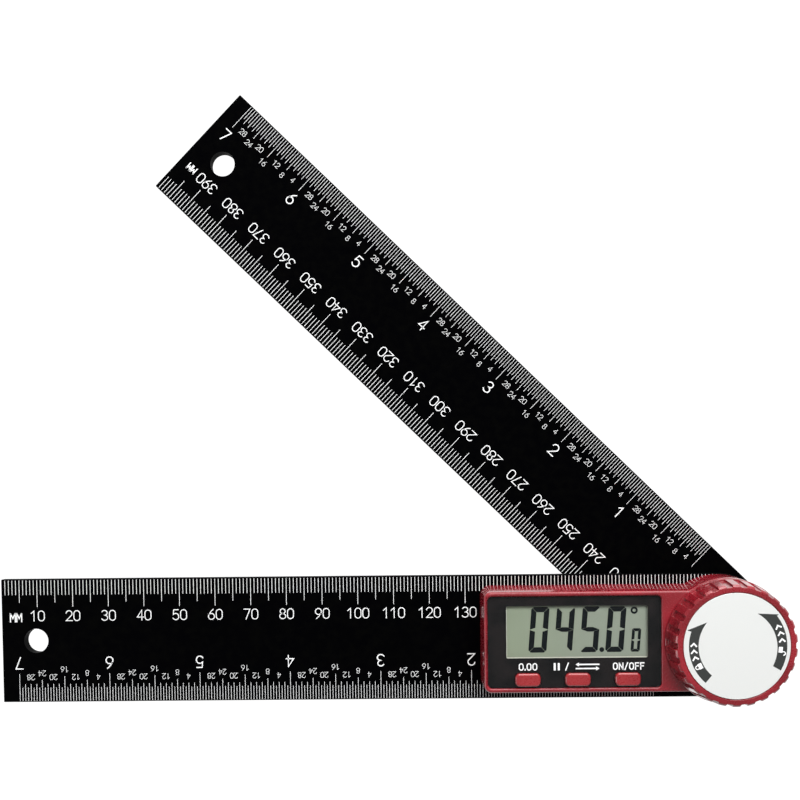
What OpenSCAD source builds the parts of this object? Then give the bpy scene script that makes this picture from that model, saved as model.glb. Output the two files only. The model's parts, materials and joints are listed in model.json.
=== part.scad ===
// Digital angle finder: two rule arms on a common hinge, a display housing moulded
// round the hinge, and a toothed knob that clamps the arms.
// The origin is on the hinge axis, at the plane that the swing arm lies on, +Z up.
// The display arm runs along -X. The swing arm lies under it, turned by rest_angle.

/* [Arms] */
// Length of each arm from the hinge axis to its square end
arm_len = 200; // [160:5:260]
// Width of each arm
arm_w = 34.6; // [34:0.2:42]
// Thickness of each arm
arm_t = 2.5; // [2.4:0.1:4]
// Chamfer along the edges of the arms
arm_edge = 0.25; // [0.1:0.05:0.5]
// Slip gap between the two arms
arm_gap = 0.3; // [0.2:0.05:0.6]
// Angle between the arms as drawn
rest_angle = 44.2; // [30:0.1:150]
// Diameter of the hanging hole in each arm
hang_d = 6.8; // [4:0.2:9]
// Distance from an arm's square end to the centre of its hanging hole
hang_end = 9.5; // [8:0.5:16]

/* [Housing] */
// Height of the display housing above the arm
housing_h = 10; // [9.5:0.25:14]
// Distance from the hinge axis to the housing's far end
housing_len = 65.85; // [65:0.05:72]
// Width of the housing where it meets the arm
housing_w = 28.8; // [28:0.2:31]
// Radius of the housing's upright corners at the arm
housing_r = 2.8; // [2.2:0.1:4]
// Draw-in of the housing's walls from the arm to the top
housing_draft = 0.8; // [0.4:0.05:1.1]
// Rounding of the housing's top edge
housing_edge = 0.6; // [0.3:0.05:0.8]
// Wall thickness of the housing
wall = 1.3; // [1:0.1:1.5]
// Radius of the round collar at the hinge, at the arm
collar_r = 17; // [16.8:0.05:17.2]
// Draw-in of the collar from the arm to the top
collar_draft = 0.15; // [0.1:0.05:0.3]

/* [Window] */
// Width of the rim along the window's two long sides
rim_w = 1.3; // [1.1:0.05:1.6]
// Width of the rim at the housing's far end
rim_end = 0.95; // [0.8:0.05:1.6]
// Gap between the knob's rim and the window
window_gap = 0.8; // [0.8:0.1:2.5]
// Corner radius of the window
window_r = 1.2; // [0.8:0.1:1.6]
// Thickness of the clear window
lens_t = 1.1; // [0.8:0.1:1.3]
// Thickness of the dark mask behind the window
mask_t = 0.1; // [0.05:0.05:0.2]
// Depth of the window's face below the rim
window_sink = 0.1; // [0.05:0.05:0.3]
// Width of the bright bevel round the window
bevel_w = 0.35; // [0.2:0.05:0.5]
// Thickness of the ledge that the window lies on
ledge_t = 1; // [0.8:0.1:1.2]

/* [Display] */
// Window length for which the display's length and the buttons' spacing are given
window_ref = 46.5; // [44:0.5:50]
// Length of the display's visible area
view_l = 38.1; // [36:0.1:39]
// Width of the display's visible area
view_w = 14.1; // [13:0.1:15]
// Distance from the window's hinge end to the visible area
view_end = 3.35; // [2.8:0.05:4]
// Distance from the window's upper edge to the visible area
view_top = 2.65; // [2.4:0.05:3]
// Margin of the front glass beyond the visible area's hinge end
glass_margin_l = 0.9; // [0.8:0.05:1]
// Margin of the front glass beyond the visible area's upper edge
glass_margin_w = 1.75; // [1.5:0.05:1.8]
// Thickness of each of the display's two glasses
glass_t = 0.8; // [0.6:0.05:1]
// Thickness of the reflector behind the display
reflector_t = 0.2; // [0.1:0.05:0.3]
// Thickness of the walls of the display's holder
holder_wall = 0.55; // [0.4:0.05:0.6]
// Clearance between the display's holder and the housing's far posts
post_clear = 0.5; // [0.3:0.05:1]
// Clearance between the display's holder and the switches
switch_clear = 1.55; // [0.5:0.05:2]

/* [Buttons] */
// Length of a button
button_l = 6.8; // [6:0.1:8]
// Width of a button
button_w = 3.5; // [3:0.1:3.6]
// Distance between neighbouring buttons
button_pitch = 13.4; // [11:0.1:14]
// Distance from the window's lower edge to the buttons' centre line
button_edge = 2.25; // [2.2:0.05:2.4]
// Height of a button above the housing's top
button_rise = 0.6; // [0.3:0.1:1]
// Travel of a button
button_travel = 0.5; // [0.3:0.05:0.6]
// Clearance round a button
button_gap = 0.15; // [0.1:0.05:0.2]
// Reach of a button's flange beyond its cap
flange_reach = 0.4; // [0.3:0.05:0.5]
// Thickness of a button's flange
flange_t = 0.7; // [0.5:0.05:0.9]

/* [Electronics] */
// Height of the circuit board's underside above the arm
board_z = 3; // [2.9:0.05:3.2]
// Thickness of the circuit board
board_t = 1; // [0.8:0.1:1.2]
// Clearance between the board and the housing's walls
board_gap = 0.4; // [0.3:0.05:0.6]
// Radius of the hole in the board round the pivot
board_hole_r = 7.2; // [7:0.1:8]
// Radius of the encoder's rotor
rotor_r = 12.1; // [11:0.1:12.2]
// Thickness of the encoder's rotor
rotor_t = 0.8; // [0.6:0.05:0.9]
// Air gap between the encoder's rotor and its stator ring
encoder_gap = 0.3; // [0.2:0.05:0.4]
// Thickness of the encoder's stator ring
stator_t = 0.3; // [0.2:0.05:0.4]
// Length of a switch body
switch_l = 4.4; // [3.6:0.1:5]
// Width of a switch body
switch_w = 3.4; // [2.8:0.1:3.6]
// Height of a switch body above the board
switch_h = 1.5; // [1.2:0.05:1.6]
// Radius of a switch's plunger
plunger_r = 0.9; // [0.7:0.05:1.1]

/* [Battery] */
// Diameter of the coin cell
cell_d = 20; // [16:0.5:20]
// Thickness of the coin cell
cell_t = 3.2; // [2:0.1:3.2]
// Distance from the hinge axis to the cell's centre
cell_x = 43.5; // [42:0.5:45]
// Thickness of the battery cover's floor
cover_t = 0.9; // [0.8:0.05:1]
// Thickness of the battery cover's upright ring
cover_ring = 0.85; // [0.8:0.05:1]
// Reach of the bayonet tabs
tab_reach = 0.8; // [0.7:0.05:1]
// Angle that one bayonet tab covers
tab_angle = 24; // [16:1:30]
// Angle that the battery cover turns through to open
cover_turn = 40; // [36:1:50]
// Number of bayonet tabs
tab_count = 3; // [2:1:4]
// Length of the coin slot
slot_l = 13; // [8:0.5:16]
// Width of the coin slot
slot_w = 1.8; // [1.2:0.1:2.4]
// Depth of the coin slot
slot_depth = 0.5; // [0.3:0.05:0.6]

/* [Pivot] */
// Radius of the pivot's journal
journal_r = 5; // [4.5:0.1:5.5]
// Radius of the pivot's thread
thread_r = 3; // [2.5:0.1:3.5]
// Radius of the pivot's head
head_r = 8; // [7:0.1:9]
// Thickness of the pivot's head
head_t = 1.2; // [1:0.05:1.4]
// Depth of each flat on the pivot's head and rotor seat
flat_depth = 1; // [0.6:0.05:1.4]
// Wall of the pivot's bush
bush_wall = 1.5; // [1.2:0.1:1.8]
// Thickness of the bush's flange
bush_flange_t = 0.6; // [0.4:0.05:0.7]
// Running clearance of the pivot, on the radius
run_gap = 0.04; // [0.02:0.01:0.08]
// Clearance between pieces fixed to each other, on the radius
fix_gap = 0.03; // [0.02:0.01:0.05]
// Outer radius of the slip washer between the arms
slip_r = 12; // [11:0.1:12.2]

/* [Lock knob] */
// Radius of the knob's base
knob_r = 16.8; // [16.2:0.05:17]
// Draw-in of the knob from its base to its top
knob_draft = 0.9; // [0.5:0.05:1.1]
// Height of the knob
knob_h = 8; // [7:0.25:11]
// Gap between the knob's skirt and the housing
knob_gap = 0.2; // [0.15:0.05:0.3]
// Number of teeth round the knob
tooth_count = 26; // [20:1:32]
// Depth of the flutes between the teeth
flute_depth = 0.65; // [0.5:0.05:0.9]
// Share of the tooth pitch that a flute takes
flute_share = 0.5; // [0.35:0.05:0.6]
// Turn of a flute round the knob, from its base to its top
flute_twist = 0; // [0:1:10]
// Height of the plain band at the knob's base
band_h = 0.8; // [0.5:0.1:1.4]
// Bevel of the knob's top edge
knob_bevel = 0.55; // [0.2:0.05:0.7]
// Radius of the plate on the knob
plate_r = 13.8; // [12:0.1:14]
// Depth of the plate's face below the knob's rim
plate_drop = 0.05; // [0.05:0.05:0.15]
// Thickness of the plate on the knob
plate_t = 0.3; // [0.2:0.05:0.5]
// Wall thickness of the knob
knob_wall = 1.5; // [1.2:0.1:1.8]
// Radius of the knob's threaded insert
insert_r = 4.6; // [4.2:0.1:5]
// Wall of the boss round the insert
boss_wall = 1.5; // [1.2:0.1:2]
// Number of ribs inside the knob
rib_count = 8; // [4:1:12]
// Thickness of a rib inside the knob
rib_t = 1; // [0.8:0.1:1.4]

/* [Fasteners] */
// Radius of a housing screw's thread
screw_r = 1; // [0.8:0.1:1.1]
// Radius of a housing screw's head
screw_head_r = 1.8; // [1.5:0.1:1.9]
// Length of a housing screw
screw_len = 6; // [5:0.5:7]
// Radius of the posts that the screws go into
post_r = 1.6; // [1.5:0.05:1.65]
// Distance from the housing's far end to its far screws
post_end = 3.2; // [3:0.05:3.3]
// Distance from the hinge axis to the screws in the collar
collar_post = 14.5; // [14.4:0.05:14.6]

/* [Hidden] */

$fn = 96;
hull_fn = 32;
// Overlap of pieces that are joined, and overshoot of a cut that goes right through
eps = 0.01;
over = 1;

// Levels
swing_top = arm_t;
disp_bot = swing_top + arm_gap;
disp_top = disp_bot + arm_t;
house_top = disp_top + housing_h;
knob_bot = house_top + knob_gap;
knob_top = knob_bot + knob_h;
recess_depth = window_sink + lens_t + mask_t;
mask_bot = house_top - recess_depth;
ledge_bot = mask_bot - ledge_t;
board_bot = disp_top + board_z;
board_top = board_bot + board_t;

// Window: seen from above, the display arm points to -X and the window's upper edge is +Y
top_half_w = housing_w / 2 - housing_draft;
window_x0 = -(housing_len - housing_draft - rim_end);
window_x1 = -(knob_r + window_gap);
window_l = window_x1 - window_x0;
window_w = 2 * (top_half_w - rim_w);
window_x = (window_x0 + window_x1) / 2;
// The display and the buttons spread with the window
view_len = view_l * window_l / window_ref;
button_step = button_pitch * window_l / window_ref;

// Buttons
button_y = -(window_w / 2 - button_edge);
button_r = 1.2;
button_top = house_top + button_rise;
cap_edge = 0.35;
flange_top = ledge_bot - 0.1;
flange_bot = flange_top - flange_t;
peg_bot = flange_bot - 0.35;
peg_r = 1;
plunger_gap = 0.05;
plunger_top = peg_bot - button_travel - plunger_gap;

// Screw posts, as [x, y], sunk a little into the wall beside them
post_sink = 0.35;
far_post = [-(housing_len - post_end), housing_w / 2 - housing_draft / 2 - wall - post_r + post_sink];
post_spots = [
  [far_post[0], far_post[1]], [far_post[0], -far_post[1]],
  [collar_post * cos(45), collar_post * sin(45)], [collar_post * cos(45), -collar_post * sin(45)]
];
screw_gap = 0.1;
screw_bite = 0.15;
pilot_spare = 0.8;
board_post = [window_x1 + 0.8, housing_w / 2 - 4.8];
board_post_r = 1.5;
board_screw_r = 0.8;
board_head_r = 1.4;
board_head_t = 0.7;
board_bite = 2;

// Display: its glass starts at the visible area's hinge end and upper edge, and reaches
// to the housing's far posts and down to the switches
view_x = window_x1 - view_end - view_len / 2;
view_y = window_w / 2 - view_top - view_w / 2;
view_margin = 0.4;
view_r = 0.4;
holder_gap = 0.05;
holder_rim = holder_wall + holder_gap;
glass_x0 = far_post[0] + post_r + post_clear + holder_rim;
glass_x1 = view_x + view_len / 2 + glass_margin_l;
glass_y0 = button_y + switch_w / 2 + switch_clear + holder_rim;
glass_y1 = view_y + view_w / 2 + glass_margin_w;
glass_x = (glass_x0 + glass_x1) / 2;
glass_y = (glass_y0 + glass_y1) / 2;
glass_l = glass_x1 - glass_x0;
glass_w = glass_y1 - glass_y0;
glass_top = ledge_bot - 0.05;
contact_ledge = 1.3;
rear_glass_w = glass_w - 2 * contact_ledge;
rear_bot = glass_top - 2 * glass_t;
reflector_inset = 0.3;
reflector_bot = rear_bot - reflector_t;

// Parts on the board, in the room under the display
part_clear = 0.55;
part_room = reflector_bot - board_top;
resin_r = 4.5;
resin_dome_r = 9;
resin_h = part_room - part_clear;
part_l = 2;
part_w = 1.2;
part_h = 0.6;
part_gap = 1;
part_row = 3;
part_inset = 6;
crystal_l = 5;
crystal_w = 1.6;
crystal_h = part_room - part_clear - 0.1;

// Battery bay, in the display arm
cell_rest = 0.1;
cell_bot = disp_bot + cover_t + cell_rest;
cell_top = cell_bot + cell_t;
cell_gap = 0.4;
ring_in = cell_d / 2 + cell_gap;
ring_out = ring_in + cover_ring;
cover_r = ring_out + tab_reach;
tab_z = 0.05;
tab_t = 0.8;
bay_gap = 0.12;
bay_slack = 4;
strip_w = 4;

// Pivot
bush_r = journal_r + run_gap + bush_wall;
bush_flange_r = bush_r + 1.3;
rotor_top = board_bot - stator_t - encoder_gap;
rotor_hub_r = journal_r + 1.8;
hub_gap = 0.02;
head_play = 0.1;
journal_top = disp_top + bush_flange_t + 0.1;
seat_top = rotor_top + 0.3;
spring_r = insert_r + boss_wall + 1.2;
spring_play = 0.2;
bolt_play = 0.3;
spring_t = 0.35;
spring_h = 0.5;
washer_t = 0.5;
seat_depth = 0.85;
boss_r = insert_r + boss_wall;
boss_bot = house_top - seat_depth + spring_h + washer_t + 0.05;
insert_h = knob_h - 2.2;
insert_cap = 0.4;
plate_gap = 0.2;
band_step = 0.15;
bolt_top = boss_bot + insert_h - insert_cap - 0.2;

// Colours
arm_black = [0.03, 0.03, 0.035];
case_red = [0.60, 0.13, 0.18];
cap_red = [0.72, 0.14, 0.17];
dark_mask = [0.12, 0.11, 0.12];
clear_pane = [0.75, 0.80, 0.80, 0.35];
lcd_grey = [0.62, 0.66, 0.58];
board_green = [0.10, 0.35, 0.20];
chip_black = [0.08, 0.08, 0.08];
holder_white = [0.90, 0.90, 0.88];
rubber_grey = [0.35, 0.35, 0.36];
steel = [0.72, 0.73, 0.75];
brass = [0.80, 0.65, 0.35];
nylon = [0.88, 0.87, 0.80];
plate_silver = [0.92, 0.93, 0.92];

// ---- Shared shapes ----

// Rounded rectangle, centred, with true arcs
module pill(l, w, r) {
  square([l, w - 2 * r], center = true);
  square([l - 2 * r, w], center = true);
  for (sx = [-1, 1], sy = [-1, 1])
    translate([sx * (l / 2 - r), sy * (w / 2 - r)])
      circle(r);
}

// Disc with two parallel flats
module double_d(r, flat) {
  intersection() {
    circle(r);
    square([2 * r + over, 2 * (r - flat)], center = true);
  }
}

// Flat ring
module ring(r_out, r_in, h) {
  difference() {
    cylinder(r = r_out, h = h);
    translate([0, 0, -eps]) cylinder(r = r_in, h = h + 2 * eps);
  }
}

// Sector of a ring, from -angle/2 to angle/2 about +X
module ring_sector(r_out, r_in, h, angle) {
  rotate([0, 0, -angle / 2])
    rotate_extrude(angle = angle)
      translate([r_in, 0])
        square([r_out - r_in, h]);
}

// ---- Arms ----

// Arm blank along -X: chamfered bar with one round and one square end
module arm_blank() {
  c = arm_edge;
  half = arm_w / 2;
  translate([-arm_len, 0, 0])
    rotate([90, 0, 90])
      linear_extrude(arm_len)
        polygon([
          [-half + c, 0], [half - c, 0], [half, c], [half, arm_t - c],
          [half - c, arm_t], [-half + c, arm_t], [-half, arm_t - c], [-half, c]
        ]);
  rotate([0, 0, -90])
    rotate_extrude(angle = 180)
      polygon([[0, 0], [half - c, 0], [half, c], [half, arm_t - c], [half - c, arm_t], [0, arm_t]]);
}

// Hole through an arm
module arm_hole(r) {
  translate([0, 0, -over]) cylinder(r = r, h = arm_t + 2 * over);
}

module swing_arm() {
  color(arm_black)
    rotate([0, 0, -rest_angle])
      difference() {
        arm_blank();
        translate([-(arm_len - hang_end), 0, 0]) arm_hole(hang_d / 2);
        arm_hole(journal_r + fix_gap);
        translate([0, 0, -eps])
          linear_extrude(head_t + head_play + eps)
            double_d(head_r + fix_gap, flat_depth);
      }
}

module display_arm() {
  color(arm_black)
    translate([0, 0, disp_bot])
      difference() {
        arm_blank();
        translate([-(arm_len - hang_end), 0, 0]) arm_hole(hang_d / 2);
        arm_hole(bush_r + fix_gap);
        battery_bay();
        for (p = post_spots)
          translate([p[0], p[1], 0]) screw_hole();
      }
}

// Stepped opening for the bayonet cover, with a notch for each tab
module battery_bay() {
  translate([-cell_x, 0, 0]) {
    translate([0, 0, -eps]) cylinder(r = cover_r + bay_gap, h = cover_t + tab_z + eps);
    arm_hole(ring_out + bay_gap);
    for (i = [0 : tab_count - 1])
      rotate([0, 0, i * 360 / tab_count + cover_turn])
        translate([0, 0, -over])
          ring_sector(cover_r + bay_gap / 2, ring_out - cover_ring / 2, arm_t + 2 * over,
                      tab_angle + bay_slack);
  }
}

// Countersunk hole for a housing screw
module screw_hole() {
  arm_hole(screw_r + screw_gap);
  translate([0, 0, -eps])
    cylinder(r1 = screw_head_r + screw_gap, r2 = screw_r + screw_gap,
             h = screw_head_r - screw_r + eps);
}

// ---- Housing ----

// One upright corner of the housing, drawn in and rounded at the top
module corner_post(r, h, draft, edge) {
  rotate_extrude($fn = hull_fn)
    polygon(concat(
      [[0, 0], [r, 0]],
      [for (a = [0 : 30 : 90]) [r - draft - edge * (1 - cos(a)), h - edge * (1 - sin(a))]],
      [[0, h]]
    ));
}

// Drafted block from the hinge axis to x = -len
module drafted_block(len, half_w, r, h, draft, edge) {
  hull()
    for (x = [-(len - r), 0], s = [-1, 1])
      translate([x, s * (half_w - r), 0])
        corner_post(r, h, draft, edge);
}

// Round collar, drawn in and rounded at the top
module collar_body(r, h, draft, edge) {
  rotate_extrude()
    polygon(concat(
      [[0, 0], [r, 0]],
      [for (a = [0 : 30 : 90]) [r - draft - edge * (1 - cos(a)), h - edge * (1 - sin(a))]],
      [[0, h]]
    ));
}

module display_housing() {
  cavity_h = ledge_bot - disp_top;
  cavity_draft = housing_draft * cavity_h / housing_h;
  cavity_r = housing_r - wall + 0.3;
  cavity_edge = 0.1;
  color(case_red) {
    difference() {
      translate([0, 0, disp_top]) {
        drafted_block(housing_len, housing_w / 2, housing_r, housing_h, housing_draft, housing_edge);
        collar_body(collar_r, housing_h, collar_draft, housing_edge);
      }
      translate([0, 0, disp_top - eps])
        drafted_block(housing_len - wall, housing_w / 2 - wall, cavity_r,
                      cavity_h + eps, cavity_draft, cavity_edge);
      translate([0, 0, disp_top - eps]) cylinder(r = collar_r - wall, h = cavity_h + eps);
      window_recess();
      translate([0, 0, house_top - seat_depth])
        cylinder(r = spring_r + spring_play, h = seat_depth + eps);
      translate([0, 0, ledge_bot - over])
        cylinder(r = thread_r + bolt_play, h = recess_depth + ledge_t + 2 * over);
    }
    for (p = post_spots)
      housing_post(p, post_r, disp_top, screw_r - screw_bite, screw_len - arm_t + pilot_spare);
    for (s = [-1, 1])
      housing_post([board_post[0], s * board_post[1]], board_post_r, board_top,
                   board_screw_r - screw_gap, board_bite);
  }
}

// Post that hangs from the housing's roof, with a pilot hole in its foot
module housing_post(p, r, foot, pilot_r, pilot_depth) {
  difference() {
    translate([p[0], p[1], foot]) cylinder(r = r, h = ledge_bot + ledge_t / 5 - foot, $fn = 48);
    translate([p[0], p[1], foot - eps]) cylinder(r = pilot_r, h = pilot_depth, $fn = 32);
  }
}

// Seat of the window, the display's opening and the button holes
module window_recess() {
  translate([window_x, 0, mask_bot])
    linear_extrude(recess_depth + eps)
      pill(window_l, window_w, window_r);
  hull() {
    translate([window_x, 0, house_top - bevel_w])
      linear_extrude(eps) pill(window_l, window_w, window_r, $fn = hull_fn);
    translate([window_x, 0, house_top])
      linear_extrude(eps)
        pill(window_l + 2 * bevel_w, window_w + 2 * bevel_w, window_r + bevel_w, $fn = hull_fn);
  }
  translate([view_x, view_y, ledge_bot - over])
    linear_extrude(ledge_t + over + eps)
      pill(view_len + 2 * view_margin, view_w + 2 * view_margin, view_r + view_margin);
  for (i = [-1 : 1])
    translate([view_x + i * button_step, button_y, ledge_bot - over])
      linear_extrude(ledge_t + over + eps)
        pill(button_l + 2 * button_gap, button_w + 2 * button_gap, button_r + button_gap);
}

// Outline of the window with its button holes
module window_outline(gap) {
  difference() {
    translate([window_x, 0]) pill(window_l - 2 * gap, window_w - 2 * gap, window_r - gap);
    for (i = [-1 : 1])
      translate([view_x + i * button_step, button_y])
        pill(button_l + 2 * button_gap, button_w + 2 * button_gap, button_r + button_gap);
  }
}

module window_lens() {
  color(clear_pane)
    translate([0, 0, mask_bot + mask_t])
      linear_extrude(lens_t)
        window_outline(fix_gap);
}

module window_mask() {
  color(dark_mask)
    translate([0, 0, mask_bot])
      linear_extrude(mask_t)
        difference() {
          window_outline(fix_gap);
          translate([view_x, view_y]) pill(view_len, view_w, view_r);
        }
}

// ---- Display ----

module lcd_front_glass() {
  color(lcd_grey)
    translate([glass_x0, glass_y0, glass_top - glass_t])
      cube([glass_l, glass_w, glass_t]);
}

module lcd_rear_glass() {
  color(lcd_grey)
    translate([glass_x0, glass_y - rear_glass_w / 2, rear_bot])
      cube([glass_l, rear_glass_w, glass_t]);
}

module lcd_reflector() {
  color(plate_silver)
    translate([glass_x0 + reflector_inset, glass_y - rear_glass_w / 2 + reflector_inset, reflector_bot])
      cube([glass_l - 2 * reflector_inset, rear_glass_w - 2 * reflector_inset, reflector_t]);
}

// Elastic strips that join the board to the front glass
module zebra_strips() {
  zebra_w = 1;
  zebra_inset = 0.1;
  zebra_end = 1;
  color(rubber_grey)
    for (s = [-1, 1])
      translate([glass_x0 + zebra_end,
                 glass_y + s * (glass_w / 2 - zebra_inset - zebra_w / 2) - zebra_w / 2, board_top])
        cube([glass_l - 2 * zebra_end, zebra_w, glass_top - glass_t - board_top]);
}

module lcd_holder() {
  color(holder_white)
    translate([glass_x, glass_y, board_top])
      difference() {
        linear_extrude(glass_top - board_top)
          pill(glass_l + 2 * holder_rim, glass_w + 2 * holder_rim, holder_wall);
        translate([0, 0, -eps])
          linear_extrude(glass_top - board_top + 2 * eps)
            square([glass_l + 2 * holder_gap, glass_w + 2 * holder_gap], center = true);
      }
}

// ---- Circuit board and what it carries ----

module circuit_board() {
  board_half = housing_w / 2 - wall - housing_draft / 2 - board_gap;
  board_end = housing_len - wall - housing_draft / 2 - board_gap;
  post_gap = 0.3;
  ring_r = collar_post - post_r - post_gap;
  board_neck = ring_r / 2;
  color(board_green)
    translate([0, 0, board_bot])
      linear_extrude(board_t)
        difference() {
          union() {
            translate([-board_end, -board_half]) square([board_end - board_neck, 2 * board_half]);
            circle(ring_r);
          }
          circle(board_hole_r);
          for (p = post_spots) translate(p) circle(post_r + post_gap);
          for (s = [-1, 1]) translate([board_post[0], s * board_post[1]]) circle(board_screw_r + screw_gap);
        }
}

// Height of the resin's domed top at a distance from its centre
function dome_height(x) = resin_h - resin_dome_r + sqrt(resin_dome_r * resin_dome_r - x * x);

// Rounded blob of resin over the controller
module controller_chip() {
  color(chip_black)
    translate([glass_x + resin_r, glass_y, board_top])
      rotate_extrude()
        polygon(concat(
          [[0, 0], [resin_r, 0]],
          [for (x = [resin_r : -resin_r / 6 : resin_r / 7]) [x, dome_height(x)]],
          [[0, dome_height(resin_r / 6)]]
        ));
}

// Small chips, resistors and the crystal, on the board's top under the display
module board_parts() {
  row_x = glass_x0 + part_inset;
  color(chip_black)
    translate([0, 0, board_top]) {
      for (i = [0 : 4])
        translate([row_x + i * (part_w + part_gap), glass_y + part_row, 0])
          cube([part_w, part_l, part_h]);
      for (i = [0 : 2])
        translate([row_x + i * (part_l + part_gap), glass_y - part_row, 0])
          cube([part_l, part_w, part_h]);
      translate([glass_x1 - part_inset - crystal_w, glass_y - crystal_l / 2, 0])
        cube([crystal_w, crystal_l, crystal_h]);
    }
}

module tact_switches() {
  color(steel)
    for (i = [-1 : 1])
      translate([view_x + i * button_step, button_y, board_top]) {
        translate([-switch_l / 2, -switch_w / 2, 0]) cube([switch_l, switch_w, switch_h]);
        cylinder(r = plunger_r, h = plunger_top - board_top, $fn = 32);
      }
}

module board_screws() {
  color(steel)
    for (s = [-1, 1])
      translate([board_post[0], s * board_post[1], board_bot - board_head_t]) {
        cylinder(r = board_head_r, h = board_head_t, $fn = 32);
        cylinder(r = board_screw_r - screw_bite, h = board_head_t + board_t + board_bite - 0.2, $fn = 32);
      }
}

// ---- Buttons ----

// Button cap with a softened top, a flange below the ledge and a short peg
module button_cap(i) {
  color(cap_red)
    translate([view_x + i * button_step, button_y, 0]) {
      hull() {
        translate([0, 0, flange_top - eps])
          linear_extrude(button_top - cap_edge - flange_top)
            pill(button_l, button_w, button_r, $fn = hull_fn);
        translate([0, 0, button_top - cap_edge / 3])
          linear_extrude(cap_edge / 3)
            pill(button_l - 2 * cap_edge, button_w - 2 * cap_edge, button_r - cap_edge, $fn = hull_fn);
      }
      translate([0, 0, flange_bot])
        linear_extrude(flange_t)
          pill(button_l + 2 * flange_reach, button_w + 2 * flange_reach, button_r + flange_reach);
      translate([0, 0, peg_bot]) cylinder(r = peg_r, h = flange_bot - peg_bot + eps, $fn = 32);
    }
}

module button_zero() { button_cap(-1); }
module button_hold() { button_cap(0); }
module button_power() { button_cap(1); }

// ---- Battery ----

module coin_cell() {
  edge = 0.3;
  step_w = 1.2;
  step_h = 0.5;
  can_r = cell_d / 2;
  color(steel)
    translate([-cell_x, 0, cell_bot])
      rotate_extrude()
        polygon([[0, 0], [can_r - edge, 0], [can_r, edge], [can_r, cell_t - step_h],
                 [can_r - step_w, cell_t - step_h], [can_r - step_w, cell_t], [0, cell_t]]);
}

// Spring strip down the cell's side, bent over under the board
module contact_plus() {
  strip_t = 0.25;
  bend_l = 2.5;
  x0 = cell_d / 2 + hub_gap;
  foot = cell_bot + 0.78 * cell_t;
  color(brass)
    translate([-cell_x, strip_w / 2, 0])
      rotate([90, 0, 0])
        linear_extrude(strip_w)
          polygon([
            [x0, foot], [x0 + strip_t, foot], [x0 + strip_t, board_bot - strip_t],
            [x0 + bend_l, board_bot - strip_t], [x0 + bend_l, board_bot], [x0, board_bot]
          ]);
}

// Leaf spring from the board's underside down to the cell's face
module contact_minus() {
  leaf = 0.2;
  touch = cell_top + 0.03;
  tip_rise = 0.32;
  color(brass)
    translate([-cell_x, strip_w / 2, 0])
      rotate([90, 0, 0])
        linear_extrude(strip_w)
          polygon([
            [-6, board_bot - leaf], [-3, board_bot - leaf], [1, touch], [3, touch],
            [4, touch + tip_rise], [3.9, touch + tip_rise + leaf], [2.9, touch + leaf],
            [1.1, touch + leaf], [-2.9, board_bot], [-6, board_bot]
          ]);
}

module battery_cover() {
  tab_bot = arm_t + tab_z;
  color(arm_black)
    translate([-cell_x, 0, disp_bot])
      difference() {
        union() {
          cylinder(r = cover_r, h = cover_t);
          ring(ring_out, ring_in, tab_bot + tab_t);
          for (i = [0 : tab_count - 1])
            rotate([0, 0, i * 360 / tab_count])
              translate([0, 0, tab_bot])
                ring_sector(cover_r, ring_in + eps, tab_t, tab_angle);
        }
        translate([-slot_l / 2, -slot_w / 2, -eps]) cube([slot_l, slot_w, slot_depth + eps]);
      }
}

// ---- Pivot ----

// Keyed head flush with the swing arm's back, round journal, flats for the rotor, thread
module pivot_bolt() {
  color(steel)
    rotate([0, 0, -rest_angle]) {
      linear_extrude(head_t) double_d(head_r, flat_depth);
      difference() {
        cylinder(r = journal_r, h = seat_top);
        for (s = [-1, 1])
          translate([0, s * (2 * journal_r - flat_depth), journal_top + journal_r])
            cube(2 * journal_r, center = true);
      }
      cylinder(r = thread_r, h = bolt_top);
    }
}

// Flanged bush in the display arm
module pivot_bush() {
  color(brass)
    difference() {
      union() {
        translate([0, 0, disp_bot]) cylinder(r = bush_r, h = arm_t + eps);
        translate([0, 0, disp_top]) cylinder(r = bush_flange_r, h = bush_flange_t);
      }
      translate([0, 0, disp_bot - over])
        cylinder(r = journal_r + run_gap, h = arm_t + bush_flange_t + 2 * over);
    }
}

module slip_washer() {
  washer_play = 0.04;
  washer_gap = 0.2;
  color(nylon)
    translate([0, 0, swing_top + washer_play])
      ring(slip_r, bush_r + washer_gap, arm_gap - washer_play);
}

// Encoder disc on its hub, which sits on the pivot's flats
module encoder_rotor() {
  hub_bot = journal_top + hub_gap;
  color(board_green)
    rotate([0, 0, -rest_angle])
      difference() {
        union() {
          translate([0, 0, hub_bot]) cylinder(r = rotor_hub_r, h = rotor_top - hub_bot);
          translate([0, 0, rotor_top - rotor_t]) cylinder(r = rotor_r, h = rotor_t);
        }
        translate([0, 0, hub_bot - over])
          linear_extrude(rotor_top - hub_bot + 2 * over)
            double_d(journal_r + fix_gap, flat_depth);
      }
}

module encoder_stator() {
  color(brass)
    translate([0, 0, board_bot - stator_t])
      ring(rotor_r, board_hole_r, stator_t);
}

// Coned spring washer in the seat under the knob
module disc_spring() {
  r_in = thread_r + 2 * bolt_play;
  color(steel)
    translate([0, 0, house_top - seat_depth])
      rotate_extrude()
        polygon([[r_in, spring_h - spring_t], [spring_r, 0], [spring_r, spring_t], [r_in, spring_h]]);
}

module thrust_washer() {
  color(steel)
    translate([0, 0, house_top - seat_depth + spring_h])
      ring(spring_r, thread_r + bolt_play, washer_t);
}

// ---- Lock knob ----

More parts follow.
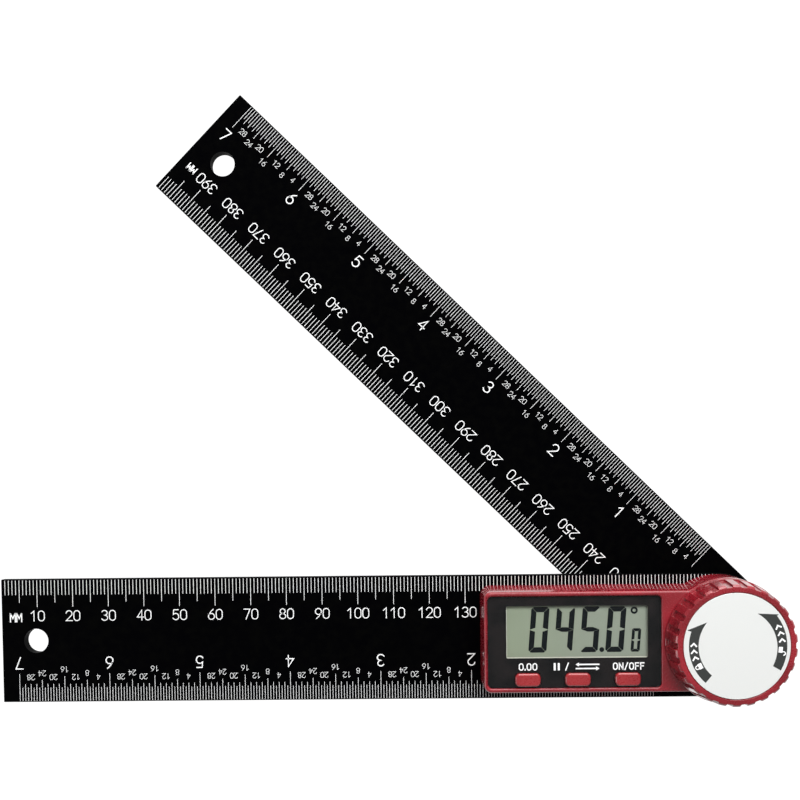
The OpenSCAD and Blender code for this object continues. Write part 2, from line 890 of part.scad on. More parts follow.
// Revolved skin of the knob, with the seat of its plate
module knob_skin() {
  band_r = knob_r - band_step;
  top_r = knob_r - knob_draft;
  seat_r = plate_r + plate_gap;
  seat_z = knob_h - plate_drop - plate_t;
  rotate_extrude()
    polygon([
      [0, 0], [knob_r - band_step, 0], [knob_r, band_step], [knob_r, band_h - band_step],
      [band_r, band_h], [top_r, knob_h - knob_bevel], [top_r - knob_bevel, knob_h],
      [seat_r, knob_h], [seat_r, seat_z], [0, seat_z]
    ]);
}

// Slanted flutes between the teeth
module flutes() {
  mid_r = knob_r - knob_draft / 2;
  pitch = 2 * PI * mid_r / tooth_count;
  half = pitch * flute_share / 2;
  slant = atan(mid_r * flute_twist * PI / 180 / knob_h);
  reach = 1.5;
  lean = atan(knob_draft / knob_h);
  intersection() {
    translate([0, 0, band_h]) cylinder(r = knob_r + reach, h = knob_h);
    for (i = [0 : tooth_count - 1])
      rotate([0, 0, i * 360 / tooth_count])
        translate([mid_r, 0, knob_h / 2])
          rotate([slant, -lean, 0])
            linear_extrude(knob_h * 2, center = true)
              polygon([[-flute_depth, -half * 0.75], [reach, -half * 1.5], [reach, half * 1.5],
                       [-flute_depth, half * 0.75]]);
  }
}

module lock_knob() {
  roof = knob_h - plate_drop - plate_t - knob_wall;
  hollow_r = knob_r - knob_draft - flute_depth - knob_wall;
  boss_drop = knob_bot - boss_bot;
  rib_z = 1;
  rib_root = 0.5;
  color(case_red)
    translate([0, 0, knob_bot]) {
      difference() {
        knob_skin();
        flutes();
        translate([0, 0, -eps]) cylinder(r = hollow_r, h = roof + eps);
      }
      difference() {
        union() {
          translate([0, 0, -boss_drop]) cylinder(r = boss_r, h = roof + boss_drop + eps);
          for (i = [0 : rib_count - 1])
            rotate([0, 0, (i + 0.5) * 360 / rib_count])
              translate([boss_r - rib_root, -rib_t / 2, rib_z])
                cube([hollow_r - boss_r + 2 * rib_root, rib_t, roof - rib_z + eps]);
        }
        translate([0, 0, -boss_drop - eps]) cylinder(r = insert_r + fix_gap, h = insert_h + plate_gap);
      }
    }
}

// Threaded insert in the knob's boss
module knob_insert() {
  color(brass)
    translate([0, 0, boss_bot])
      difference() {
        cylinder(r = insert_r, h = insert_h);
        translate([0, 0, -eps]) cylinder(r = thread_r + run_gap, h = insert_h - insert_cap);
      }
}

module knob_plate() {
  color(plate_silver)
    translate([0, 0, knob_top - plate_drop - plate_t])
      cylinder(r = plate_r, h = plate_t);
}

// ---- Fasteners ----

// Countersunk screws from the arm's back into the housing's posts
module housing_screws() {
  head_h = screw_head_r - screw_r;
  head_sink = 0.05;
  cross_w = 0.4;
  cross_l = 2;
  color(steel)
    for (p = post_spots)
      translate([p[0], p[1], disp_bot + head_sink])
        difference() {
          union() {
            cylinder(r1 = screw_head_r, r2 = screw_r, h = head_h, $fn = 48);
            cylinder(r = screw_r - screw_bite - hub_gap, h = screw_len, $fn = 48);
          }
          for (a = [0, 90])
            rotate([0, 0, a])
              translate([-cross_l / 2, -cross_w / 2, -eps]) cube([cross_l, cross_w, cross_w]);
        }
}

swing_arm();
display_arm();
display_housing();
window_lens();
window_mask();
lcd_front_glass();
lcd_rear_glass();
lcd_reflector();
lcd_holder();
zebra_strips();
circuit_board();
controller_chip();
board_parts();
tact_switches();
board_screws();
button_zero();
button_hold();
button_power();
coin_cell();
contact_plus();
contact_minus();
battery_cover();
pivot_bolt();
pivot_bush();
slip_washer();
encoder_rotor();
encoder_stator();
disc_spring();
thrust_washer();
lock_knob();
knob_insert();
knob_plate();
housing_screws();
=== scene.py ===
# %% [markdown]
# # A digital angle finder
#
# Two black rule arms turn on one hinge. A red housing with a small liquid-crystal display sits
# on one arm, and a toothed knob on the hinge clamps the other. The packed CAD model gives every
# solid at its real size. This script dresses it: the printed scales, the display's figures, the
# labels, the rounded edges and the finish of each surface. Lengths are written in millimetres
# and multiplied by MM, because Blender works in metres.

# %% Load the frame
import json
import math

import bmesh
import bpy
from mathutils import Matrix, Vector

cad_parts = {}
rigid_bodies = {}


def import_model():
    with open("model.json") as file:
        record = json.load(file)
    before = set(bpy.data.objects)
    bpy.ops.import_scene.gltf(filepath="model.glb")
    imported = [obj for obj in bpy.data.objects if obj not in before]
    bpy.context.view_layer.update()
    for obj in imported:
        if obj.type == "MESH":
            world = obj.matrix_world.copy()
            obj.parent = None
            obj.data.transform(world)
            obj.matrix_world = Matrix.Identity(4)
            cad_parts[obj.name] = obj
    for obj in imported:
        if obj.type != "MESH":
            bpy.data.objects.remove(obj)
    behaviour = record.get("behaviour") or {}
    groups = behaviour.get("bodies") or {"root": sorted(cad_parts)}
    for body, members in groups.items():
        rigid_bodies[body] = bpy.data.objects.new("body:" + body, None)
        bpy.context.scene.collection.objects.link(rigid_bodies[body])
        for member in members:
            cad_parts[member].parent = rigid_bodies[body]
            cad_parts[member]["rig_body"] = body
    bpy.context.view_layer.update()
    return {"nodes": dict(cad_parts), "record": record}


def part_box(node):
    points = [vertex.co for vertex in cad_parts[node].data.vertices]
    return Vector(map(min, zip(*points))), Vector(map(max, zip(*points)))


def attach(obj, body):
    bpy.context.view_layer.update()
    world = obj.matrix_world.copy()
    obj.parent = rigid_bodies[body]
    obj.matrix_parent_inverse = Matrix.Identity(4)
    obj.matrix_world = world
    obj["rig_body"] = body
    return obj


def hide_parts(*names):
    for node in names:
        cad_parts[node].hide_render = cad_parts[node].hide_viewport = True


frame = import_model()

MM = 0.001

# %% [markdown]
# ## The camera
#
# The photograph looks almost straight down, from a quarter of a metre above the arms. Its frame
# was cropped, so the centre of the lens isn't the centre of the picture, and a small shift puts it
# back. The place and the turns were found by matching ticks of the printed scales, the housing's
# corners and the knob's rim. A camera turned by hand could come close, but ticks one millimetre
# apart show every error.

# %% Camera
IMAGE = 800
SENSOR = 36.0
CAMERA_AT = Vector((-71.1, 39.96, 244.5)) * MM
TURN_X, TURN_Y, TURN_Z = 1.57, -0.422, 0.568
FOCAL_PIXELS = 858.7
CENTRE_PIXEL = (453.8, 517.7)

to_camera = (
    Matrix.Rotation(math.radians(TURN_Y), 4, "Y")
    @ Matrix.Rotation(math.radians(TURN_X), 4, "X")
    @ Matrix.Rotation(math.radians(TURN_Z), 4, "Z")
)
lens = bpy.data.cameras.new("photo_camera")
lens.sensor_width = SENSOR
lens.lens = FOCAL_PIXELS / IMAGE * SENSOR
lens.shift_x = (IMAGE / 2 - CENTRE_PIXEL[0]) / IMAGE
lens.shift_y = (CENTRE_PIXEL[1] - IMAGE / 2) / IMAGE
lens.clip_start = 0.01
camera = bpy.data.objects.new("photo_camera", lens)
camera.matrix_world = Matrix.Translation(CAMERA_AT) @ to_camera.transposed()
bpy.context.scene.collection.objects.link(camera)
bpy.context.scene.camera = camera
print("Lens of", round(lens.lens, 1), "mm, shift", round(lens.shift_x, 3), round(lens.shift_y, 3))

# %% [markdown]
# ## Sums on sockets
#
# A procedural finish is a sum of noises, steps and mixes. Wiring Math nodes by hand hides that
# sum, so a small class wraps a socket and overloads the operators: `wave * 0.8 + grain` then adds
# the Math nodes by itself. A second class adds any other node from its type, its settings and its
# sockets. The same two serve material trees and Geometry Nodes trees.

# %% Node helpers
class Wire:
    """An output socket that takes part in sums."""

    def __init__(self, graph, socket):
        self.graph = graph
        self.socket = socket

    def math(self, operation, *terms):
        return self.graph.add("ShaderNodeMath", {"operation": operation}, dict(enumerate(terms)))

    def __add__(self, other):
        return self.math("ADD", self, other)

    def __sub__(self, other):
        return self.math("SUBTRACT", self, other)

    def __mul__(self, other):
        return self.math("MULTIPLY", self, other)

    def __truediv__(self, other):
        return self.math("DIVIDE", self, other)

    def every(self, step):
        """1 where a whole number is a multiple of step, else 0."""
        phase = self.math("MODULO", self + 0.5, step)
        return self.math("LESS_THAN", phase, 1)

    def between(self, low, high):
        """0 below low, 1 above high, and a smooth rise between."""
        return self.graph.add(
            "ShaderNodeMapRange",
            {"interpolation_type": "SMOOTHSTEP"},
            {"Value": self, "From Min": low, "From Max": high},
        )


class Graph:
    """A node tree that is filled by calls."""

    def __init__(self, tree):
        self.tree = tree

    def add(self, kind, settings=None, sockets=None, output=0):
        node = self.tree.nodes.new(kind)
        for name, value in (settings or {}).items():
            setattr(node, name, value)
        for name, value in (sockets or {}).items():
            self.feed(node.inputs[name], value)
        return Wire(self, node.outputs[output])

    def feed(self, socket, value):
        if isinstance(value, Wire):
            self.tree.links.new(value.socket, socket)
        else:
            socket.default_value = value


print("A wire also knows:", [name for name in vars(Wire) if not name.startswith("_")])

# %% [markdown]
# ## Finishes
#
# Each material starts as a Principled shader with its constants on its own sockets. What varies
# over the surface comes from noise on Object coordinates: moulded plastic has a faint unevenness
# that breaks up reflections, print has thin spots, and turned metal has rings. The scale of each
# noise is a real size, so one function turns millimetres into the texture's scale.

# %% Base of every finish
def srgb(red, green, blue):
    """A colour as it is read off a screen, from 0 to 255, in linear light."""
    def linear(level):
        """The screen's standard curve: straight near black, and a power above it."""
        share = level / 255
        return share / 12.92 if share <= 0.04045 else ((share + 0.055) / 1.055) ** 2.4

    return (linear(red), linear(green), linear(blue))


class Finish(Graph):
    """A material with one Principled shader, and shortcuts for what varies over it."""

    def __init__(self, name, **constants):
        self.material = bpy.data.materials.new(name)
        self.material.use_nodes = True
        super().__init__(self.material.node_tree)
        self.tree.nodes.clear()
        self.shader = self.tree.nodes.new("ShaderNodeBsdfPrincipled")
        self.output = self.tree.nodes.new("ShaderNodeOutputMaterial")
        self.tree.links.new(self.shader.outputs[0], self.output.inputs[0])
        for socket, value in constants.items():
            self.shader.inputs[socket.replace("_", " ")].default_value = value
        self.place = self.add("ShaderNodeTexCoord", output="Object")

    def noise(self, size_mm, detail=2.0, stretch=None):
        place = self.place
        if stretch:
            place = self.add("ShaderNodeMapping", None, {"Vector": place, "Scale": stretch})
        return self.add(
            "ShaderNodeTexNoise", None,
            {"Vector": place, "Scale": 1 / (size_mm * MM), "Detail": detail},
        )

    def colour(self, dark, light, share):
        mixed = self.add(
            "ShaderNodeMix", {"data_type": "RGBA"},
            {"Factor": share, 6: (*dark, 1), 7: (*light, 1)}, output=2,
        )
        self.feed(self.shader.inputs["Base Color"], mixed)

    def roughness(self, low, high, share):
        self.feed(self.shader.inputs["Roughness"], share * (high - low) + low)

    def bump(self, height, depth_mm):
        bumped = self.add(
            "ShaderNodeBump", None,
            {"Height": height, "Distance": depth_mm * MM, "Strength": 1.0},
        )
        self.feed(self.shader.inputs["Normal"], bumped)


print("Mid grey on a screen is", round(srgb(128, 128, 128)[0], 3), "in linear light")


# %% [markdown]
# ## Moulded red plastic
#
# The housing, the knob and the caps are polished mouldings in one dark red. A glossy moulding is
# never perfectly flat: slow waves a few millimetres long bend its reflections, and a finer grain
# keeps them from being mirror sharp. Both go to the bump, and the colour changes only a little.
# A clear coat draws sharp bright lines along the edges, over a red that is a little duller.

# %% Red plastic
def red_plastic(name, dark, light, roughness, coat_roughness):
    finish = Finish(name, IOR=1.5, Coat_Weight=0.75, Coat_Roughness=coat_roughness)
    wave = finish.noise(9.0, 1.0)
    grain = finish.noise(0.35, 2.0)
    finish.colour(dark, light, wave.between(0.3, 0.7))
    finish.roughness(roughness, roughness + 0.12, grain)
    finish.bump(wave * 0.8 + grain * 0.004, 0.05)
    return finish.material


HOUSING_RED = red_plastic("housing_red", srgb(124, 20, 30), srgb(146, 30, 42), 0.2, 0.08)
KNOB_RED = red_plastic("knob_red", srgb(118, 14, 26), srgb(144, 26, 38), 0.22, 0.15)
CAP_RED = red_plastic("cap_red", srgb(136, 30, 36), srgb(154, 40, 44), 0.22, 0.12)
print("Red plastics:", HOUSING_RED.name, KNOB_RED.name, CAP_RED.name)


# %% [markdown]
# ## Black arms and white print
#
# The arms are a flat black composite with a very faint mottle, and the scales are printed on it in
# white ink. A real ink film is a few hundredths of a millimetre thick. It could be painted by a
# texture, but a thin mesh keeps its edges sharp at any distance and is a solid of its own.

# %% Black and white finishes
def arm_composite():
    finish = Finish("arm_composite", IOR=1.45, Specular_IOR_Level=0.03)
    mottle = finish.noise(2.2, 4.0)
    grain = finish.noise(0.12, 3.0)
    finish.colour(srgb(1, 1, 2), srgb(3, 3, 3), mottle.between(0.35, 0.75))
    finish.roughness(0.42, 0.6, grain)
    finish.bump(grain, 0.004)
    return finish.material


def white_ink():
    finish = Finish("white_ink", IOR=1.45, Specular_IOR_Level=0.3)
    cover = finish.noise(0.6, 3.0)
    finish.colour(srgb(226, 227, 227), srgb(244, 245, 245), cover.between(0.3, 0.55))
    finish.roughness(0.45, 0.6, cover)
    return finish.material


ARM_BLACK = arm_composite()
WHITE_INK = white_ink()
print("Arms and print:", ARM_BLACK.name, WHITE_INK.name)


# %% [markdown]
# ## Window and display
#
# The window is a clear sheet over a dark print with an opening. Real glass would bend light and
# block the lamps from what is under it, so the sheet mixes a see-through shader with a mirror, by
# the Fresnel law. Its index is lower than that of bare glass, as a coated window's is: it mirrors
# less than two parts in a hundred straight down, and more at the edge of sight. This way has a
# limit. Light goes straight through the sheet instead of bending, so from lower than about 39
# degrees the law turns the inner faces into full mirrors, which hide the display. A mirror on the
# outward faces alone would not do that. The display's own face is a grey-green film, a little
# greener at the end far from the hinge.

# %% Window and display finishes
def clear_sheet():
    finish = Finish("clear_sheet", Roughness=0.04, Metallic=1.0)
    finish.shader.inputs["Base Color"].default_value = (0.95, 0.96, 0.96, 1)
    see_through = finish.add("ShaderNodeBsdfTransparent", None, {"Color": (0.97, 0.98, 0.97, 1)})
    shine = finish.add("ShaderNodeFresnel", None, {"IOR": 1.28})
    mixed = finish.add("ShaderNodeMixShader", None, {0: shine, 1: see_through})
    finish.tree.links.new(finish.shader.outputs[0], mixed.socket.node.inputs[2])
    finish.tree.links.new(mixed.socket, finish.output.inputs[0])
    return finish.material


def dark_print():
    finish = Finish("dark_print", IOR=1.45, Specular_IOR_Level=0.2)
    cloud = finish.noise(7.0, 2.0)
    finish.colour(srgb(20, 19, 22), srgb(36, 31, 33), cloud.between(0.35, 0.65))
    finish.roughness(0.3, 0.45, cloud)
    return finish.material


def display_film():
    """The film is a little greener at the far end, as the cell is seen at another slant there."""
    finish = Finish("display_film", IOR=1.45, Specular_IOR_Level=0.25)
    along = finish.add("ShaderNodeSeparateXYZ", None, {"Vector": finish.place}, output="X")
    cloud = finish.noise(14.0, 1.0)
    share = (along + cloud * (10 * MM)).between(-62 * MM, -22 * MM)
    finish.colour(srgb(172, 182, 159), srgb(173, 180, 167), share)
    finish.roughness(0.3, 0.42, finish.noise(0.2, 2.0))
    return finish.material


def display_figure():
    finish = Finish("display_figure", IOR=1.45, Specular_IOR_Level=0.2)
    grain = finish.noise(0.5, 2.0)
    finish.colour(srgb(6, 12, 18), srgb(14, 22, 28), grain)
    finish.roughness(0.3, 0.4, grain)
    return finish.material


# Painted highlight: a near-white finish for the pale strips that stand in for light caught along
# the display cell's edge.
def film_edge():
    finish = Finish("film_edge", IOR=1.45)
    grain = finish.noise(0.8, 2.0)
    finish.colour(srgb(238, 240, 226), srgb(250, 251, 242), grain)
    finish.roughness(0.2, 0.3, grain)
    return finish.material


CLEAR_SHEET = clear_sheet()
DARK_PRINT = dark_print()
DISPLAY_FILM = display_film()
DISPLAY_FIGURE = display_figure()
FILM_GLINT = film_edge()
print("Window and display:", CLEAR_SHEET.name, DARK_PRINT.name, DISPLAY_FILM.name)


# %% [markdown]
# ## Metals, the knob's plate and the hidden pieces
#
# The plate on the knob is a thin satin disc, so it has fine rings about the hinge axis: the noise
# is read on the distance from that axis. The pivot, the screws and the cell are turned or stamped
# steel, with a grain that catches the light. The pieces inside show only when the model is taken
# apart, and they get the plain look of their stuff.

# %% Metal finishes
def ringed(finish, pitch_mm):
    """Noise that changes only with the distance from the hinge axis."""
    flat = finish.add("ShaderNodeMapping", None, {"Vector": finish.place, "Scale": (1, 1, 0)})
    reach = finish.add("ShaderNodeVectorMath", {"operation": "LENGTH"}, {0: flat}, output="Value")
    return finish.add(
        "ShaderNodeTexNoise", {"noise_dimensions": "1D"},
        {"W": reach / (pitch_mm * MM), "Scale": 1.0, "Detail": 2.0},
    )


def satin_plate():
    finish = Finish("satin_plate", IOR=1.45, Metallic=0.25)
    rings = ringed(finish, 0.12)
    finish.colour(srgb(222, 224, 222), srgb(231, 232, 230), rings)
    finish.roughness(0.32, 0.46, rings)
    finish.bump(rings, 0.002)
    return finish.material


def grey_ink():
    finish = Finish("grey_ink", IOR=1.45, Specular_IOR_Level=0.3)
    grain = finish.noise(0.4, 3.0)
    finish.colour(srgb(50, 52, 51), srgb(60, 62, 61), grain)
    finish.roughness(0.4, 0.55, grain)
    return finish.material


def metal(name, dark, light, roughness):
    finish = Finish(name, Metallic=1.0)
    grain = finish.noise(0.25, 3.0, (1, 1, 6))
    finish.colour(dark, light, grain)
    finish.roughness(roughness, roughness + 0.15, grain)
    finish.bump(grain, 0.004)
    return finish.material


def plain_stuff(name, dark, light, roughness, size_mm=1.0):
    finish = Finish(name, IOR=1.5)
    cloud = finish.noise(size_mm, 3.0)
    finish.colour(dark, light, cloud)
    finish.roughness(roughness, roughness + 0.12, cloud)
    finish.bump(cloud, 0.01)
    return finish.material


SATIN_PLATE = satin_plate()
GREY_INK = grey_ink()
STEEL = metal("turned_steel", srgb(176, 178, 180), srgb(206, 207, 208), 0.28)
BRASS = metal("brass", srgb(190, 150, 80), srgb(214, 176, 104), 0.3)
NYLON = plain_stuff("nylon", srgb(214, 210, 196), srgb(226, 222, 210), 0.45)
HOLDER_WHITE = plain_stuff("holder_white", srgb(222, 222, 218), srgb(232, 232, 228), 0.4)
CONTACT_RUBBER = plain_stuff("contact_rubber", srgb(52, 52, 54), srgb(70, 70, 72), 0.7)
BOARD_GREEN = plain_stuff("board_green", srgb(18, 78, 44), srgb(26, 96, 56), 0.3)
CHIP_BLACK = plain_stuff("chip_black", srgb(18, 18, 19), srgb(30, 30, 31), 0.4)
COVER_BLACK = plain_stuff("cover_black", srgb(24, 24, 25), srgb(34, 34, 35), 0.35)
print("Finishes in all:", len(bpy.data.materials))

# %% [markdown]
# ## Dress the CAD nodes
#
# A CAD node keeps its mesh, and only its material slots change. Nodes that get rounded edges are
# copied further down, and take the same finish.

# %% Materials of the CAD nodes
node_finish = {
    "swing_arm": ARM_BLACK, "display_arm": ARM_BLACK, "battery_cover": COVER_BLACK,
    "display_housing": HOUSING_RED, "lock_knob": KNOB_RED,
    "button_zero": CAP_RED, "button_hold": CAP_RED, "button_power": CAP_RED,
    "window_lens": CLEAR_SHEET, "window_mask": DARK_PRINT,
    "lcd_front_glass": DISPLAY_FILM, "lcd_rear_glass": DISPLAY_FILM, "lcd_reflector": DISPLAY_FILM,
    "lcd_holder": HOLDER_WHITE, "zebra_strips": CONTACT_RUBBER,
    "circuit_board": BOARD_GREEN, "encoder_rotor": BOARD_GREEN,
    "controller_chip": CHIP_BLACK, "board_parts": CHIP_BLACK,
    "tact_switches": STEEL, "board_screws": STEEL, "coin_cell": STEEL, "pivot_bolt": STEEL,
    "disc_spring": STEEL, "thrust_washer": STEEL, "housing_screws": STEEL,
    "contact_plus": BRASS, "contact_minus": BRASS, "pivot_bush": BRASS,
    "encoder_stator": BRASS, "knob_insert": BRASS,
    "slip_washer": NYLON, "knob_plate": SATIN_PLATE,
}
for node, material in node_finish.items():
    for slot in frame["nodes"][node].material_slots:
        slot.material = material
print("Finishes given to", len(node_finish), "of", len(frame["nodes"]), "nodes")

# %% [markdown]
# ## Soft edges
#
# Light shows a moulded part mostly along its edges: each one has a tiny round that catches a
# bright line. The CAD solids have the larger rounds and chamfers, but the chamfers' own edges are
# sharp. A Bevel modifier on a copy rounds them by a tenth of a millimetre or two. The CAD mesh is
# loose triangles, so the copy's doubles are merged and its flat faces joined before that. Only
# edges above a given height get a weight, since the clutter of short edges inside a hollow
# moulding would upset the bevel.

# %% Softened copies
SHARP = math.radians(34)
FLAT = math.radians(0.3)
WELD = 0.004
ROUND_STEPS = 3


def soften(node, width_mm, above_mm=0.0):
    """A copy of a CAD node with small rounds on its sharp edges, which stands for the node."""
    source = frame["nodes"][node]
    shell = bmesh.new()
    shell.from_mesh(source.data)
    bmesh.ops.remove_doubles(shell, verts=shell.verts, dist=WELD * MM)
    bmesh.ops.dissolve_limit(
        shell, angle_limit=FLAT, verts=shell.verts, edges=shell.edges, delimit={"NORMAL"},
    )
    weight = shell.edges.layers.float.new("bevel_weight_edge")
    for edge in shell.edges:
        sharp = edge.calc_face_angle(0) > SHARP
        edge.smooth = not sharp
        edge[weight] = sharp and min(vertex.co.z for vertex in edge.verts) > above_mm * MM
    for face in shell.faces:
        face.smooth = True
    mesh = bpy.data.meshes.new(node + "_soft")
    shell.to_mesh(mesh)
    shell.free()
    mesh.materials.clear()
    mesh.materials.append(node_finish[node])
    piece = bpy.data.objects.new(node + "_soft", mesh)
    bpy.context.scene.collection.objects.link(piece)
    bevel = piece.modifiers.new("soft_edges", "BEVEL")
    bevel.width = width_mm * MM
    bevel.segments = ROUND_STEPS
    bevel.limit_method = "WEIGHT"
    bevel.use_clamp_overlap = False
    bevel.harden_normals = True
    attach(piece, source["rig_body"])
    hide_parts(node)
    rounded_pieces.append(piece)
    print(node, "softened by", width_mm, "mm,", len(mesh.polygons), "faces")


rounded_pieces = []
soften("display_housing", 0.2, above_mm=14.5)
soften("lock_knob", 0.16, above_mm=15)
for cap in ("button_zero", "button_hold", "button_power"):
    soften(cap, 0.14, above_mm=15)
soften("knob_plate", 0.08)

# %% [markdown]
# The dark mask lies between the housing's ledge and the window. In the CAD model it touches both,
# and two faces in one place would flicker. A copy at half the thickness keeps clear of them.

# %% Thinner mask
MASK_SHARE = 0.5


def thin_out(node, share):
    """A copy of a flat CAD node squeezed towards its middle height, which stands for the node."""
    source = frame["nodes"][node]
    mesh = source.data.copy()
    heights = [vertex.co.z for vertex in mesh.vertices]
    middle = (min(heights) + max(heights)) / 2
    for vertex in mesh.vertices:
        vertex.co.z = middle + (vertex.co.z - middle) * share
    piece = bpy.data.objects.new(node + "_thin", mesh)
    bpy.context.scene.collection.objects.link(piece)
    mesh.materials.clear()
    mesh.materials.append(node_finish[node])
    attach(piece, source["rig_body"])
    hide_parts(node)
    print(node, "is", round((max(heights) - min(heights)) * share / MM, 3), "mm thick")


thin_out("window_mask", MASK_SHARE)

# %% [markdown]
# ## Sizes read from the frame
#
# Everything that is printed on a piece takes its place from that piece's box, so it follows the
# CAD model. The swing arm is drawn turned, and its angle comes from where its hanging hole lies.

# %% Places
def corners(node):
    low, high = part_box(node)
    return Vector(low) / MM, Vector(high) / MM


arm_low, arm_high = corners("display_arm")
ARM_LENGTH = -arm_low.x
ARM_HALF = arm_high.y
DISPLAY_ARM_TOP = arm_high.z
SWING_ARM_TOP = corners("swing_arm")[1].z
swing_hole = next(m for m in frame["record"]["mounts"] if m["name"] == "swing_hanging_hole")
REST_ANGLE = math.atan2(swing_hole["pos_m"][1], -swing_hole["pos_m"][0])

on_display_arm = Matrix.Translation((0, 0, DISPLAY_ARM_TOP))
on_swing_arm = Matrix.Rotation(-REST_ANGLE, 4, "Z") @ Matrix.Translation((0, 0, SWING_ARM_TOP))
print("Arms", round(ARM_LENGTH, 1), "by", round(2 * ARM_HALF, 1), "mm, at",
      round(math.degrees(REST_ANGLE), 1), "degrees")


# %% [markdown]
# ## Printed ticks
#
# A scale is one tick repeated by a rule, which is what Geometry Nodes are for. The tree lays a
# line of points one pitch apart, puts a unit block on each, and stretches the block by the tick's
# class: every fifth or tenth millimetre is longer, and an inch has five classes down to its
# thirty-seconds. The same tree makes both scales from its named inputs. The alternative, a loop
# that writes every block's corners, would be slower to change.

# %% Tick tree
INK_SINK = 0.01
INK_RISE = 0.03
TICK_CLASSES = 4


def input_of(tree, name, kind, value=None):
    socket = tree.interface.new_socket(name, in_out="INPUT", socket_type=kind)
    if value is not None:
        socket.default_value = value


def build_tick_tree():
    tree = bpy.data.node_groups.new("scale_ticks", "GeometryNodeTree")
    tree.interface.new_socket("Geometry", in_out="OUTPUT", socket_type="NodeSocketGeometry")
    input_of(tree, "Count", "NodeSocketInt", 11)
    input_of(tree, "First", "NodeSocketFloat", 0.0)
    for name in ("Pitch", "Width", "Thickness", "Length 0"):
        input_of(tree, name, "NodeSocketFloat", MM)
    for rank in range(1, TICK_CLASSES + 1):
        input_of(tree, f"Every {rank}", "NodeSocketFloat", 5.0)
        input_of(tree, f"Length {rank}", "NodeSocketFloat", MM)
    input_of(tree, "Ink", "NodeSocketMaterial")
    graph = Graph(tree)
    given = tree.nodes.new("NodeGroupInput")
    wire = {socket.name: Wire(graph, socket) for socket in given.outputs if socket.name}

    step = graph.add("ShaderNodeCombineXYZ", None, {"X": wire["Pitch"]})
    line = graph.add(
        "GeometryNodeMeshLine", {"mode": "OFFSET"}, {"Count": wire["Count"], "Offset": step},
    )
    index = graph.add("GeometryNodeInputIndex") + wire["First"]
    length = wire["Length 0"]
    for rank in range(1, TICK_CLASSES + 1):
        chosen = index.every(wire[f"Every {rank}"])
        length = length + (wire[f"Length {rank}"] - length) * chosen
    middle = graph.add("ShaderNodeCombineXYZ", None, {"Y": length * 0.5})
    centred = graph.add("GeometryNodeSetPosition", None, {"Geometry": line, "Offset": middle})
    block = graph.add("GeometryNodeMeshCube", None, {"Size": (1, 1, 1)})
    stretch = graph.add(
        "ShaderNodeCombineXYZ", None, {"X": wire["Width"], "Y": length, "Z": wire["Thickness"]},
    )
    ticks = graph.add(
        "GeometryNodeInstanceOnPoints", None,
        {"Points": centred, "Instance": block, "Scale": stretch},
    )
    real = graph.add("GeometryNodeRealizeInstances", None, {"Geometry": ticks})
    inked = graph.add(
        "GeometryNodeSetMaterial", None, {"Geometry": real, "Material": wire["Ink"]},
    )
    leave = tree.nodes.new("NodeGroupOutput")
    tree.links.new(inked.socket, leave.inputs[0])
    return tree


TICK_TREE = build_tick_tree()
print("Tick tree has", len(TICK_TREE.nodes), "nodes")


# %% [markdown]
# A tree's result is turned into a plain mesh before anything else uses it. The mesh is then moved
# into its final place, while its object stays at the origin, as every piece here does.

# %% Plain pieces
def add_piece(name, mesh, body, place):
    """A mesh in metres, moved to a place in millimetres and given to its body."""
    moved = place.copy()
    moved.translation = place.translation * MM
    mesh.transform(moved)
    piece = bpy.data.objects.new(name, mesh)
    bpy.context.scene.collection.objects.link(piece)
    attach(piece, body)


def grow(tree, inputs):
    """The mesh that a Geometry Nodes tree makes from its named inputs."""
    seed = bpy.data.objects.new("seed", bpy.data.meshes.new("seed"))
    bpy.context.scene.collection.objects.link(seed)
    modifier = seed.modifiers.new("tree", "NODES")
    modifier.node_group = tree
    for item in tree.interface.items_tree:
        if item.item_type == "SOCKET" and item.in_out == "INPUT" and item.name in inputs:
            modifier[item.identifier] = inputs[item.name]
    depsgraph = bpy.context.evaluated_depsgraph_get()
    mesh = bpy.data.meshes.new_from_object(seed.evaluated_get(depsgraph))
    bpy.data.objects.remove(seed)
    return mesh


EDGE_MARGIN = 0.3


def lay_ticks(name, place, body, first, count, pitch, width, reach, steps):
    """A row of ticks from place along +X, each reaching from the edge along +Y."""
    inputs = {
        "Count": count, "First": float(first), "Pitch": pitch * MM, "Width": width * MM,
        "Thickness": (INK_SINK + INK_RISE) * MM, "Length 0": (reach[0] - EDGE_MARGIN) * MM,
        "Ink": WHITE_INK,
    }
    for rank in range(1, TICK_CLASSES + 1):
        given = min(rank, len(steps))
        inputs[f"Every {rank}"] = float(steps[given - 1])
        inputs[f"Length {rank}"] = (reach[given] - EDGE_MARGIN) * MM
    mesh = grow(TICK_TREE, inputs)
    mesh.name = name
    lift = Matrix.Translation((0, 0, (INK_RISE - INK_SINK) / 2))
    add_piece(name, mesh, body, place @ lift)
    print(name, "has", count, "ticks")


print("Each row of ticks starts", EDGE_MARGIN, "mm inside the arm's edge")


# %% [markdown]
# ## The scales on the arms
#
# Each arm carries two scales, one on each edge, and each is read with its own edge up. So every
# scale is laid out in a frame where its edge is at the top, and the frame of a lower edge is the
# arm's frame turned by half a turn. Millimetres run from 0 at the display arm's free end over 200
# at the hinge to 400 at the swing arm's tip. Inches run from 0 near the hinge to 7 at each end.

# %% Ticks of both arms
MM_REACH = (4.4, 6.5, 7.8)
MM_STEPS = (5, 10)
INCH = 25.4
INCHES = 7
PARTS = 32
INCH_END = 4.6
INCH_REACH = (4.1, 5.1, 6.2, 7.3, 8.0)
INCH_STEPS = (2, 8, 16, 32)
MM_TICK, INCH_TICK = 0.135, 0.11

turned = Matrix.Rotation(math.pi, 4, "Z")
inch_zero = ARM_LENGTH - INCH_END - INCHES * INCH


